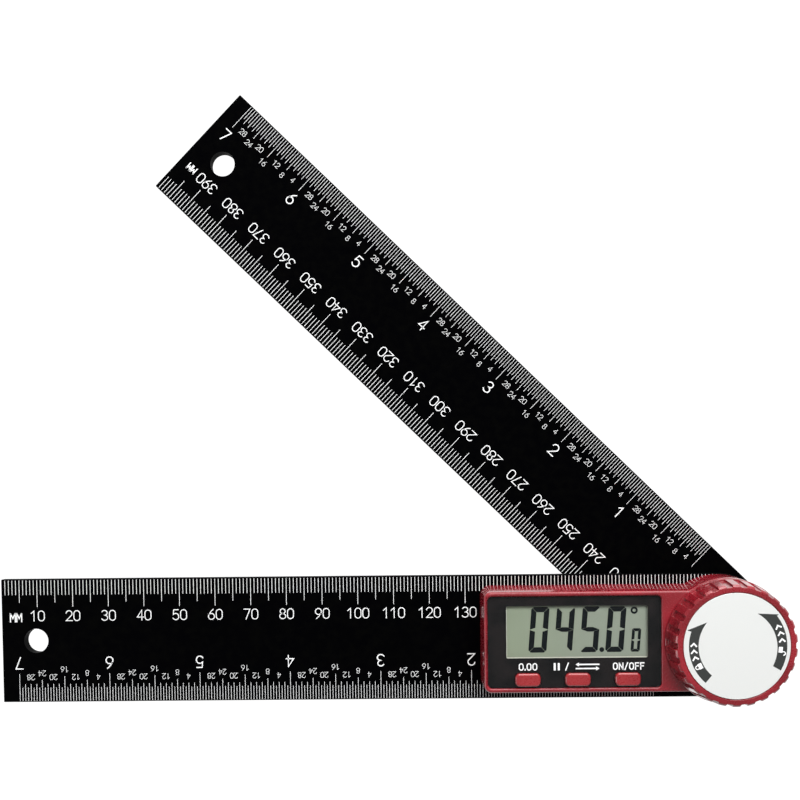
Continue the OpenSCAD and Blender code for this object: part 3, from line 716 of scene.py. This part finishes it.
def edge_start(edge_frame, x):
    """Where a row of ticks starts that runs towards -X in the frame of its edge."""
    return edge_frame @ Matrix.Translation((x, ARM_HALF - EDGE_MARGIN, 0)) @ turned


display_upper, display_lower = on_display_arm, on_display_arm @ turned
swing_upper, swing_lower = on_swing_arm, on_swing_arm @ turned
mm_count = round(ARM_LENGTH)
inch_count = INCHES * PARTS + 1

lay_ticks("display_mm_ticks", edge_start(display_upper, 0), "display_body",
          0, mm_count, 1, MM_TICK, MM_REACH, MM_STEPS)
lay_ticks("display_inch_ticks", edge_start(display_lower, ARM_LENGTH - INCH_END), "display_body",
          0, inch_count, INCH / PARTS, INCH_TICK, INCH_REACH, INCH_STEPS)
lay_ticks("swing_mm_ticks", edge_start(swing_lower, ARM_LENGTH - 1), "swing_body",
          1, mm_count, 1, MM_TICK, MM_REACH, MM_STEPS)
lay_ticks("swing_inch_ticks", edge_start(swing_upper, -inch_zero), "swing_body",
          0, inch_count, INCH / PARTS, INCH_TICK, INCH_REACH, INCH_STEPS)
print("The inch scales start", round(inch_zero, 2), "mm from the hinge")


# %% [markdown]
# ## Print made of strokes and areas
#
# Numerals on a rule are drawn with one pen width and square corners. A font file would bring its
# own outlines, with thick and thin parts. So each figure is a list of centre lines in a cell one
# unit high, and a ribbon of constant width follows them, with mitred corners. At a sharp corner a
# mitre would run far out, so its length has a limit.

# %% Edges of a ribbon
MITRE_LIMIT = 0.45


def ribbon_edges(line, width, ring):
    """The left and right edges of a ribbon along the points of a line."""
    count = len(line)
    left, right = [], []
    for i, point in enumerate(line):
        before = line[i - 1] if ring or i else None
        after = line[(i + 1) % count] if ring or i < count - 1 else None
        into = (point - before).normalized() if before is not None else None
        out = (after - point).normalized() if after is not None else None
        into, out = into or out, out or into
        across = Vector((-(into + out).y, (into + out).x, 0)).normalized()
        cosine = max(across.dot(Vector((-into.y, into.x, 0))), MITRE_LIMIT)
        side = across * (width / 2 / cosine)
        left.append(point + side)
        right.append(point - side)
    return left, right


left, right = ribbon_edges([Vector((0, 0, 0)), Vector((1, 0, 0))], 0.2, False)
print("The edges of a ribbon 0.2 wide lie", round((left[0] - right[0]).length, 3), "apart")


# %% [markdown]
# Print has two faces and a thin wall round it, so that it is a closed solid.
# One class gathers the ribbons of the numerals and closed areas, for symbols, arrows and the
# display's segments, and lays them all on a piece as one mesh.

# %% Strokes and areas
JOINED = 1e-6


class Print:
    """Flat print in millimetres that gathers strokes and areas before it is laid on a piece."""

    def __init__(self, low=-INK_SINK, high=INK_RISE):
        self.shell = bmesh.new()
        self.low = low
        self.high = high

    def level(self, points, height):
        return [self.shell.verts.new((point[0], point[1], height)) for point in points]

    def area(self, outline, place=Matrix.Identity(4)):
        outline = [place @ Vector((x, y, 0)) for x, y in outline]
        below, above = self.level(outline, self.low), self.level(outline, self.high)
        self.shell.faces.new(above)
        self.shell.faces.new(list(reversed(below)))
        for near in range(len(outline)):
            far = (near + 1) % len(outline)
            self.shell.faces.new((below[near], below[far], above[far], above[near]))

    def stroke(self, points, width, place=Matrix.Identity(4), cap=0.0):
        """A ribbon of one width along the points, a ring where the last point is the first."""
        line = [place @ Vector((x, y, 0)) for x, y in points]
        ring = (line[0] - line[-1]).length < JOINED
        if ring:
            line.pop()
        else:
            line[0] = line[0] + (line[0] - line[1]).normalized() * cap
            line[-1] = line[-1] + (line[-1] - line[-2]).normalized() * cap
        left, right = ribbon_edges(line, width, ring)
        rows = [
            self.level(left, self.high), self.level(right, self.high),
            self.level(right, self.low), self.level(left, self.low),
        ]
        count = len(line)
        for i in range(count if ring else count - 1):
            j = (i + 1) % count
            for side in range(4):
                one, two = rows[side], rows[(side + 1) % 4]
                self.shell.faces.new((one[i], one[j], two[j], two[i]))
        if not ring:
            self.shell.faces.new([row[0] for row in rows])
            self.shell.faces.new([row[-1] for row in reversed(rows)])

    def lay(self, name, body, material, place):
        bmesh.ops.recalc_face_normals(self.shell, faces=self.shell.faces)
        mesh = bpy.data.meshes.new(name)
        self.shell.to_mesh(mesh)
        self.shell.free()
        mesh.materials.append(material)
        mesh.transform(Matrix.Scale(MM, 4))
        add_piece(name, mesh, body, place)
        print(name, "has", len(mesh.polygons), "faces")


print("Ink rises", INK_RISE, "mm over its piece and sinks", INK_SINK, "mm into it")


# %% [markdown]
# ## Figures and letters
#
# Ten figures and a few letters are all the arms and labels need. The round ones are joined from
# arcs. A cell is 0.6 wide and 1 high, and a line's width is added all round it.

# %% Centre lines of the figures
CELL_WIDTH = 0.6


def sweep(start, end, steps):
    """Even steps from one angle to another."""
    return [start + (end - start) * i / steps for i in range(steps + 1)]


def arc(centre, radii, start, end, steps=10):
    """Points on an oval, from one angle to another in degrees."""
    angles = [math.radians(angle) for angle in sweep(start, end, steps)]
    return [
        (centre[0] + radii[0] * math.cos(a), centre[1] + radii[1] * math.sin(a)) for a in angles
    ]


nought = arc((0.3, 0.7), (0.3, 0.3), 0, 180) + arc((0.3, 0.3), (0.3, 0.3), 180, 360)
nought.append((0.6, 0.7))
six_bowl = arc((0.3, 0.3), (0.3, 0.3), 150, 510, 20)
FIGURES = {
    "0": [nought],
    "1": [[(0.06, 0.76), (0.34, 1.0), (0.34, 0.0)]],
    "2": [arc((0.3, 0.71), (0.3, 0.29), 170, -30) + [(0.0, 0.0), (0.62, 0.0)]],
    "3": [
        arc((0.29, 0.76), (0.27, 0.24), 155, -90) + arc((0.29, 0.26), (0.31, 0.26), 90, -155)[1:],
    ],
    "4": [[(0.46, 0.0), (0.46, 1.0), (0.0, 0.3), (0.64, 0.3)]],
    "5": [[(0.56, 1.0), (0.1, 1.0), (0.05, 0.52)] + arc((0.29, 0.32), (0.31, 0.32), 120, -150)],
    "6": [[(0.48, 1.0), (0.26, 0.8), (0.06, 0.5)], six_bowl],
    "7": [[(0.0, 1.0), (0.6, 1.0), (0.2, 0.0)]],
    "8": [
        arc((0.3, 0.76), (0.25, 0.24), -90, 270, 20),
        arc((0.3, 0.26), (0.3, 0.26), 90, 450, 20),
    ],
    ".": [[(0.0, 0.0), (0.0, 0.12)]],
    "/": [[(0.0, -0.05), (0.42, 1.05)]],
    "O": [nought],
    "N": [[(0.0, 0.0), (0.0, 1.0)], [(0.04, 0.94), (0.54, 0.06)], [(0.58, 0.0), (0.58, 1.0)]],
    "F": [[(0.0, 0.0), (0.0, 1.0), (0.5, 1.0)], [(0.0, 0.52), (0.44, 0.52)]],
    "M": [
        [(0.0, 0.0), (0.0, 1.0)], [(0.04, 0.96), (0.3, 0.4), (0.56, 0.96)],
        [(0.6, 0.0), (0.6, 1.0)],
    ],
}
FIGURES["9"] = [[(CELL_WIDTH - x, 1.0 - y) for x, y in line] for line in FIGURES["6"]]
print("Drawn signs:", " ".join(sorted(FIGURES)))


# %% [markdown]
# A numeral on a rule stands in a row at an even pitch, so that its figures line up. The labels
# have signs of very different widths, and look better with an even gap between them.

# %% Rows of signs
def write(sheet, text, centre, height, width, pitch=None, gap=0.12):
    """Text about a place: at an even pitch, or with an even gap where no pitch is given."""
    scale = height - width
    rooms = [max(x for line in FIGURES[sign] for x, y in line) * scale for sign in text]
    if pitch:
        starts = [i * pitch * height for i in range(len(text))]
        total = starts[-1] + CELL_WIDTH * scale
    else:
        starts = [sum(rooms[:i]) + i * (gap * height + width) for i in range(len(text))]
        total = starts[-1] + rooms[-1]
    low = centre[1] - scale / 2
    for sign, start in zip(text, starts):
        x = centre[0] - total / 2 + start
        for line in FIGURES[sign]:
            points = [(x + px * scale, low + py * scale) for px, py in line]
            sheet.stroke(points, width, cap=width / 2)


print("The widest sign takes",
      max(x for lines in FIGURES.values() for line in lines for x, y in line), "of its height")

# %% [markdown]
# ## Numerals of the scales
#
# Every tenth millimetre and every inch has a numeral, and small numerals count the
# thirty-seconds in fours. They sit just past the ends of their ticks, so 16 stands furthest in.
# Where the housing covers the display arm there are none.

# %% Numerals between the ticks
MM_FIGURE, MM_PEN, MM_ROW = 3.04, 0.24, 10.3
INCH_FIGURE, INCH_PEN, INCH_ROW = 3.5, 0.3, 11.0
SMALL_FIGURE, SMALL_PEN, SMALL_GAP = 1.6, 0.115, 1.1
SMALL_STEP = 4
DIGIT_PITCH = 0.72


def mm_numerals(sheet, values):
    for value in values:
        place = (value - ARM_LENGTH, ARM_HALF - MM_ROW)
        write(sheet, str(value), place, MM_FIGURE, MM_PEN, DIGIT_PITCH)


def inch_numerals(sheet, direction, nearest):
    """Inch numerals and the small ones between them, where the place is past nearest."""
    for part in range(SMALL_STEP, INCHES * PARTS + 1, SMALL_STEP):
        x = direction * (inch_zero + part * INCH / PARTS)
        if abs(x) < nearest:
            continue
        step = part % PARTS
        if step == 0:
            place = (x, ARM_HALF - INCH_ROW)
            write(sheet, str(part // PARTS), place, INCH_FIGURE, INCH_PEN, DIGIT_PITCH)
        else:
            rank = sum(step % every == 0 for every in INCH_STEPS)
            row = ARM_HALF - INCH_REACH[rank] - SMALL_GAP - SMALL_FIGURE / 2
            write(sheet, str(step), (x, row), SMALL_FIGURE, SMALL_PEN, DIGIT_PITCH)


housing_far = corners("display_housing")[0].x
print("The housing hides the display arm from", round(housing_far, 1), "mm on")

# %% Numerals of both arms
MM_STEP = 10
HOUSING_CLEAR = 2
DISPLAY_UNIT = {"from_end": 3.95, "row": 10.75, "height": 2.6, "pen": 0.32}
SWING_UNIT = {"from_end": 4.1, "row": 10.5, "height": 2.1, "pen": 0.28}
UNIT_GAP = 0.04


def unit_mark(sheet, side, mark):
    """The letters MM near the arm's free end, which lies at -X where side is -1."""
    place = (side * (ARM_LENGTH - mark["from_end"]), ARM_HALF - mark["row"])
    write(sheet, "MM", place, mark["height"], mark["pen"], gap=UNIT_GAP)


mm_sheet = Print()
mm_numerals(mm_sheet, range(MM_STEP, round(ARM_LENGTH + housing_far), MM_STEP))
unit_mark(mm_sheet, -1, DISPLAY_UNIT)
mm_sheet.lay("display_mm_numerals", "display_body", WHITE_INK, display_upper)

inch_sheet = Print()
inch_numerals(inch_sheet, 1, HOUSING_CLEAR - housing_far)
inch_sheet.lay("display_inch_numerals", "display_body", WHITE_INK, display_lower)

mm_sheet = Print()
mm_numerals(mm_sheet, range(mm_count + MM_STEP, 2 * mm_count, MM_STEP))
unit_mark(mm_sheet, 1, SWING_UNIT)
mm_sheet.lay("swing_mm_numerals", "swing_body", WHITE_INK, swing_lower)

inch_sheet = Print()
inch_numerals(inch_sheet, -1, 0)
inch_sheet.lay("swing_inch_numerals", "swing_body", WHITE_INK, swing_upper)


# %% [markdown]
# ## The display's figures
#
# A liquid-crystal figure has seven segments with mitred ends and hair-thin gaps, all leaning a
# little. One function gives the seven outlines for any box, so the large figures and the small
# zero differ only in their numbers.

# %% Segments of a figure
SEGMENTS = {"0": "abcdef", "4": "bcfg", "5": "acdfg"}
LEAN = math.tan(math.radians(4.6))
CUT_SHARE = 0.45
SLOPE_SHARE = 0.34
BAR_INSET, BAR_HALF = 1.2, 0.43


def segment_outlines(width, height, pen, gap):
    """Outlines of the seven segments, named a to g, in an upright box."""
    half = height / 2
    cut = pen * CUT_SHARE
    top = [(cut / 2 + gap, height - cut / 2), (cut, height), (width - cut, height),
           (width - cut / 2 - gap, height - cut / 2), (width - pen - gap, height - pen),
           (pen + gap, height - pen)]
    slope = pen * SLOPE_SHARE
    side = [(0, height - cut), (cut / 2, height - cut / 2 - gap), (pen, height - pen - gap),
            (pen, half + slope + gap), (0, half + gap)]
    bar_top = half + pen * BAR_HALF
    bar = [(gap, half), (pen, half + slope), (pen * BAR_INSET, bar_top),
           (width - pen * BAR_INSET, bar_top), (width - pen, half + slope), (width - gap, half)]
    bar += [(x, height - y) for x, y in reversed(bar[1:-1])]

    def mirror(points, across, down):
        return [(width - x if across else x, height - y if down else y) for x, y in points]

    return {
        "a": top, "d": mirror(top, False, True), "g": bar,
        "f": side, "b": mirror(side, True, False),
        "e": mirror(side, False, True), "c": mirror(side, True, True),
    }


def show_figure(sheet, sign, corner, width, height, pen, gap):
    outlines = segment_outlines(width, height, pen, gap)
    for letter in SEGMENTS[sign]:
        sheet.area([(corner[0] + x + y * LEAN, corner[1] + y) for x, y in outlines[letter]])


print("Segments lean", round(LEAN, 3), "mm for each mm of height")

# %% [markdown]
# The segments lie on the glass as a thin dark film: three figures, a point, a fourth figure, a
# degree ring and a small zero. A pale line along two sides of the opening is a painted highlight:
# near-white print on the glass that stands in for the bright edge of the cell, where light falls
# in past the dark print.

# %% Display print
VIEW_LOW, VIEW_HIGH = (-59.05, -4.45), (-20.95, 9.65)
FOOT_GLINT, FOOT_OUT = 0.4, 0.08
SIDE_GLINT, SIDE_IN = 0.3, 0.1
FIRST_CORNER = (-53.1, -3.12)
FIGURE_PITCH = 6.93
FIGURE_BOX, FIGURE_STYLE = (4.9, 12.4), (1.44, 0.045)
SMALL_CORNER = (-25.45, -3.1)
SMALL_BOX, SMALL_STYLE = (2.45, 6.35), (0.78, 0.03)
POINT_AT, POINT_RADIUS = (-33.2, -2.45), 0.66
DEGREE_AT, DEGREE_RADIUS, DEGREE_PEN = (-24.4, 8.15), 0.7, 0.54

on_glass = Matrix.Translation((0, 0, corners("lcd_front_glass")[1].z))
foot_y, side_x = VIEW_LOW[1] - FOOT_OUT, VIEW_LOW[0] + SIDE_IN
# Painted highlight: pale strips along the lower and left sides of the opening stand in for light
# caught by the cell's edge.
rim = Print()
rim.stroke([(VIEW_LOW[0], foot_y), (VIEW_HIGH[0], foot_y)], FOOT_GLINT)
rim.stroke([(side_x, foot_y + FOOT_GLINT / 2), (side_x, VIEW_HIGH[1])], SIDE_GLINT)
rim.lay("display_rim_glint", "display_body", FILM_GLINT, on_glass)

figures = Print()
for place, sign in enumerate("0450"):
    corner = (FIRST_CORNER[0] + place * FIGURE_PITCH, FIRST_CORNER[1])
    show_figure(figures, sign, corner, *FIGURE_BOX, *FIGURE_STYLE)
figures.area(arc(POINT_AT, (POINT_RADIUS, POINT_RADIUS), 0, 345, 23))
figures.stroke(arc(DEGREE_AT, (DEGREE_RADIUS, DEGREE_RADIUS), 0, 360, 24), DEGREE_PEN)
show_figure(figures, "0", SMALL_CORNER, *SMALL_BOX, *SMALL_STYLE)
figures.lay("display_figures", "display_body", DISPLAY_FIGURE, on_glass)

# %% [markdown]
# ## The labels over the buttons
#
# The labels are printed in white on the window, over its dark surround, each above its button.
# They show a plain zero, a pause sign with a pair of arrows for the other direction, and ON/OFF.
# Signs take few strokes and are read in any language.

# %% Labels
LABEL_ROW, LABEL_HEIGHT, LABEL_PEN = -6.55, 2.0, 0.3
ZERO_X, SLASH_X, SWITCH_X = -53.35, -42.9, -26.4
PAUSE_X, PAUSE_PEN = (-46.2, -45.1), 0.55
ARROW_LEFT, ARROW_RIGHT = -40.6, -34.2
ARROW_PEN, HEAD_LENGTH, HEAD_HALF, ARROW_OFFSET = 0.36, 0.9, 0.55, 0.55

labels = Print()
write(labels, "0.00", (ZERO_X, LABEL_ROW), LABEL_HEIGHT, LABEL_PEN)
write(labels, "ON/OFF", (SWITCH_X, LABEL_ROW), LABEL_HEIGHT, LABEL_PEN)
for x in PAUSE_X:
    ends = [(x, LABEL_ROW - LABEL_HEIGHT / 2), (x, LABEL_ROW + LABEL_HEIGHT / 2)]
    labels.stroke(ends, PAUSE_PEN)
write(labels, "/", (SLASH_X, LABEL_ROW), LABEL_HEIGHT, LABEL_PEN)
for side, tip, tail in ((-1, ARROW_RIGHT, ARROW_LEFT), (1, ARROW_LEFT, ARROW_RIGHT)):
    y = LABEL_ROW + side * ARROW_OFFSET
    neck = tip + side * HEAD_LENGTH
    labels.stroke([(neck, y), (tail, y)], ARROW_PEN)
    labels.area([(tip, y), (neck, y + HEAD_HALF), (neck, y - HEAD_HALF)])
on_window = Matrix.Translation((0, 0, corners("window_lens")[1].z))
labels.lay("window_labels", "display_body", WHITE_INK, on_window)

# %% [markdown]
# ## Arrows on the knob's plate
#
# Two curved arrows show which way the knob clamps and which way it frees the arm. Each is a band
# between two near circles, and its inner edge runs on to the point of the head. The outlines are
# worked out from the plate's radius, so they follow it: in the table, radii are shares of it and
# angles are in degrees.

# %% Knob arrows
CLAMP_ARROW = {
    "inner_at_tail": 0.722, "inner_at_tip": 0.722, "outer": 0.902, "barb": 0.98,
    "tail": 229, "neck": 161.7, "tip": 141.2,
    "middle": 0.812, "padlock": 208, "closed": True, "chevron": 196, "turn": -1,
}
FREE_ARROW = {
    "inner_at_tail": 0.765, "inner_at_tip": 0.72, "outer": 0.932, "barb": 0.975,
    "tail": -29.6, "neck": 37.4, "tip": 58.2,
    "middle": 0.843, "padlock": -5, "closed": False, "chevron": 7, "turn": 1,
}
EDGE_STEPS = 24
plate_top = corners("knob_plate")[1]


def polar(radius_share, angle):
    reach = plate_top.x * radius_share
    return (reach * math.cos(math.radians(angle)), reach * math.sin(math.radians(angle)))


def curved_arrow(sheet, arrow):
    """A band whose inner edge runs on to the tip, and whose outer edge ends in a barb."""
    tail, tip = arrow["tail"], arrow["tip"]
    outline = [polar(arrow["outer"], angle) for angle in sweep(tail, arrow["neck"], EDGE_STEPS)]
    outline.append(polar(arrow["barb"], arrow["neck"]))
    widening = arrow["inner_at_tail"] - arrow["inner_at_tip"]
    for angle in sweep(tip, tail, EDGE_STEPS):
        share = arrow["inner_at_tip"] + widening * (angle - tip) / (tail - tip)
        outline.append(polar(share, angle))
    sheet.area(outline)


arrows = Print()
for arrow in (CLAMP_ARROW, FREE_ARROW):
    curved_arrow(arrows, arrow)
on_plate = Matrix.Translation((0, 0, plate_top.z))
arrows.lay("knob_arrows", "knob_body", GREY_INK, on_plate)
print("Plate radius", round(plate_top.x, 2), "mm")


# %% [markdown]
# White signs lie on the bands: a closed padlock or an open one, and three chevrons that point
# the way. Each is drawn about its own centre, then moved to the band's middle and turned so that
# its top points away from the hinge. They start inside the arrow's ink and end just above it, so
# no two faces lie in one place.

# %% Signs on the arrows
PADLOCK_LOW, PADLOCK_HIGH, PADLOCK_HALF = -0.95, 0.1, 0.75
SHACKLE_HALF, SHACKLE_RISE, SHACKLE_PEN = 0.45, 0.42, 0.26
OPEN_SHIFT, OPEN_END = 0.9, 0.35
CHEVRONS, CHEVRON_TURN = 3, 9
CHEVRON_HALF, CHEVRON_DEPTH, CHEVRON_PEN = 0.8, 0.4, 0.42
SIGN_RISE = INK_RISE + 0.01


def on_band(arrow, angle):
    """The frame of a sign at the middle of its band, with its top pointing away from the hinge."""
    x, y = polar(arrow["middle"], angle)
    return Matrix.Translation((x, y, 0)) @ Matrix.Rotation(math.radians(angle - 90), 4, "Z")


def padlock(sheet, arrow):
    here = on_band(arrow, arrow["padlock"])
    body = [(-PADLOCK_HALF, PADLOCK_LOW), (PADLOCK_HALF, PADLOCK_LOW),
            (PADLOCK_HALF, PADLOCK_HIGH), (-PADLOCK_HALF, PADLOCK_HIGH)]
    sheet.area(body, here)
    middle, end = (0, PADLOCK_HIGH) if arrow["closed"] else (OPEN_SHIFT, OPEN_END)
    shackle = [(middle - SHACKLE_HALF, PADLOCK_HIGH)]
    shackle += arc((middle, SHACKLE_HALF), (SHACKLE_HALF, SHACKLE_RISE), 180, 0, 12)
    shackle.append((middle + SHACKLE_HALF, end))
    sheet.stroke(shackle, SHACKLE_PEN, here)


def chevron(sheet, arrow, step):
    depth = CHEVRON_DEPTH * arrow["turn"]
    line = [(depth, CHEVRON_HALF), (-depth, 0), (depth, -CHEVRON_HALF)]
    here = on_band(arrow, arrow["chevron"] + arrow["turn"] * step * CHEVRON_TURN)
    sheet.stroke(line, CHEVRON_PEN, here)


signs = Print(INK_RISE - INK_SINK, SIGN_RISE)
for arrow in (CLAMP_ARROW, FREE_ARROW):
    padlock(signs, arrow)
    for step in range(CHEVRONS):
        chevron(signs, arrow, step)
signs.lay("knob_signs", "knob_body", WHITE_INK, on_plate)

# %% [markdown]
# ## Floor and light
#
# The photograph's ground is pure white, with hardly a shadow. A wide floor under the arms gives
# that. To the camera, and in reflections, most of its light is its own, so it stays white without
# any extra light on the object. A white material alone would turn grey where little light falls.

# %% Floor
FLOOR_SIZE = 4000
FLOOR_DROP = 0.1
FLOOR_GLOW, GLOW_SHARE = 1.12, 0.95


def pale_floor():
    finish = Finish("pale_floor", Roughness=0.9, Specular_IOR_Level=0.1)
    cloud = finish.noise(40.0, 2.0)
    finish.colour(srgb(236, 236, 236), srgb(240, 240, 240), cloud)
    rays = finish.tree.nodes.new("ShaderNodeLightPath")
    seen = Wire(finish, rays.outputs["Is Camera Ray"])
    for name in ("Is Glossy Ray", "Is Transmission Ray"):
        seen = seen + Wire(finish, rays.outputs[name])
    white = finish.add("ShaderNodeEmission", None, {"Color": (1, 1, 1, 1), "Strength": FLOOR_GLOW})
    share = seen.math("MINIMUM", seen, 1.0) * GLOW_SHARE
    mixed = finish.add("ShaderNodeMixShader", None, {0: share, 2: white})
    finish.tree.links.new(finish.shader.outputs[0], mixed.socket.node.inputs[1])
    finish.tree.links.new(mixed.socket, finish.output.inputs[0])
    return finish.material


half, low = FLOOR_SIZE / 2 * MM, -FLOOR_DROP * MM
floor_mesh = bpy.data.meshes.new("floor")
floor_mesh.from_pydata(
    [(-half, -half, low), (half, -half, low), (half, half, low), (-half, half, low)],
    [], [(0, 1, 2, 3)],
)
floor_mesh.materials.append(pale_floor())
floor = bpy.data.objects.new("floor", floor_mesh)
bpy.context.scene.collection.objects.link(floor)
print("Floor of", FLOOR_SIZE / 1000, "m,", FLOOR_DROP, "mm under the arms")

# %% [markdown]
# The light is a soft white sky and one large lamp behind the object. A lamp that size would turn
# the window into a white mirror from the front, so it is kept out of reflections. A second lamp
# at its place does the opposite: it shines only in the reflections of the rounded pieces, which is
# what light linking is for. Two low cards shine in the bevels: seen from above, a bevel mirrors
# what stands near the horizon, so a card there draws the thin bright lines round the window.

# %% Light
SKY_LEVEL = 0.3
KEY_AT = (0.1, 0.75, 0.75)
LAMPS = {
    "key": {"at": KEY_AT, "size": (0.9, 0.9), "watts": 18.5, "gives": "light"},
    "key_gloss": {"at": KEY_AT, "size": (0.7, 0.7), "watts": 16.0, "gives": "gloss"},
    "back_card": {"at": (0.1, 1.15, 0.3), "size": (0.9, 0.4), "watts": 5.5, "gives": "both"},
    "side_card": {"at": (-1.1, -0.18, 0.27), "size": (0.5, 0.3), "watts": 1.6, "gives": "both"},
}
LOOK_AT = Vector((-0.04, 0.0, 0.01))

world = bpy.data.worlds.new("soft_sky")
world.use_nodes = True
sky = world.node_tree.nodes["Background"]
sky.inputs["Color"].default_value = (1, 1, 1, 1)
sky.inputs["Strength"].default_value = SKY_LEVEL
bpy.context.scene.world = world

shiny = bpy.data.collections.new("shiny_pieces")
for piece in rounded_pieces:
    shiny.objects.link(piece)

for name, plan in LAMPS.items():
    lamp = bpy.data.lights.new(name, "AREA")
    lamp.shape = "RECTANGLE"
    lamp.size, lamp.size_y = plan["size"]
    lamp.energy = plan["watts"]
    lamp_object = bpy.data.objects.new(name, lamp)
    aim = (LOOK_AT - Vector(plan["at"])).to_track_quat("-Z", "Y").to_matrix().to_4x4()
    lamp_object.matrix_world = Matrix.Translation(plan["at"]) @ aim
    lamp_object.visible_glossy = plan["gives"] != "light"
    lamp_object.visible_diffuse = plan["gives"] != "gloss"
    if plan["gives"] == "gloss":
        lamp_object.light_linking.receiver_collection = shiny
    bpy.context.scene.collection.objects.link(lamp_object)
bpy.context.scene.view_settings.view_transform = "Standard"
print("Sky", SKY_LEVEL, "and", len(LAMPS), "lamps")
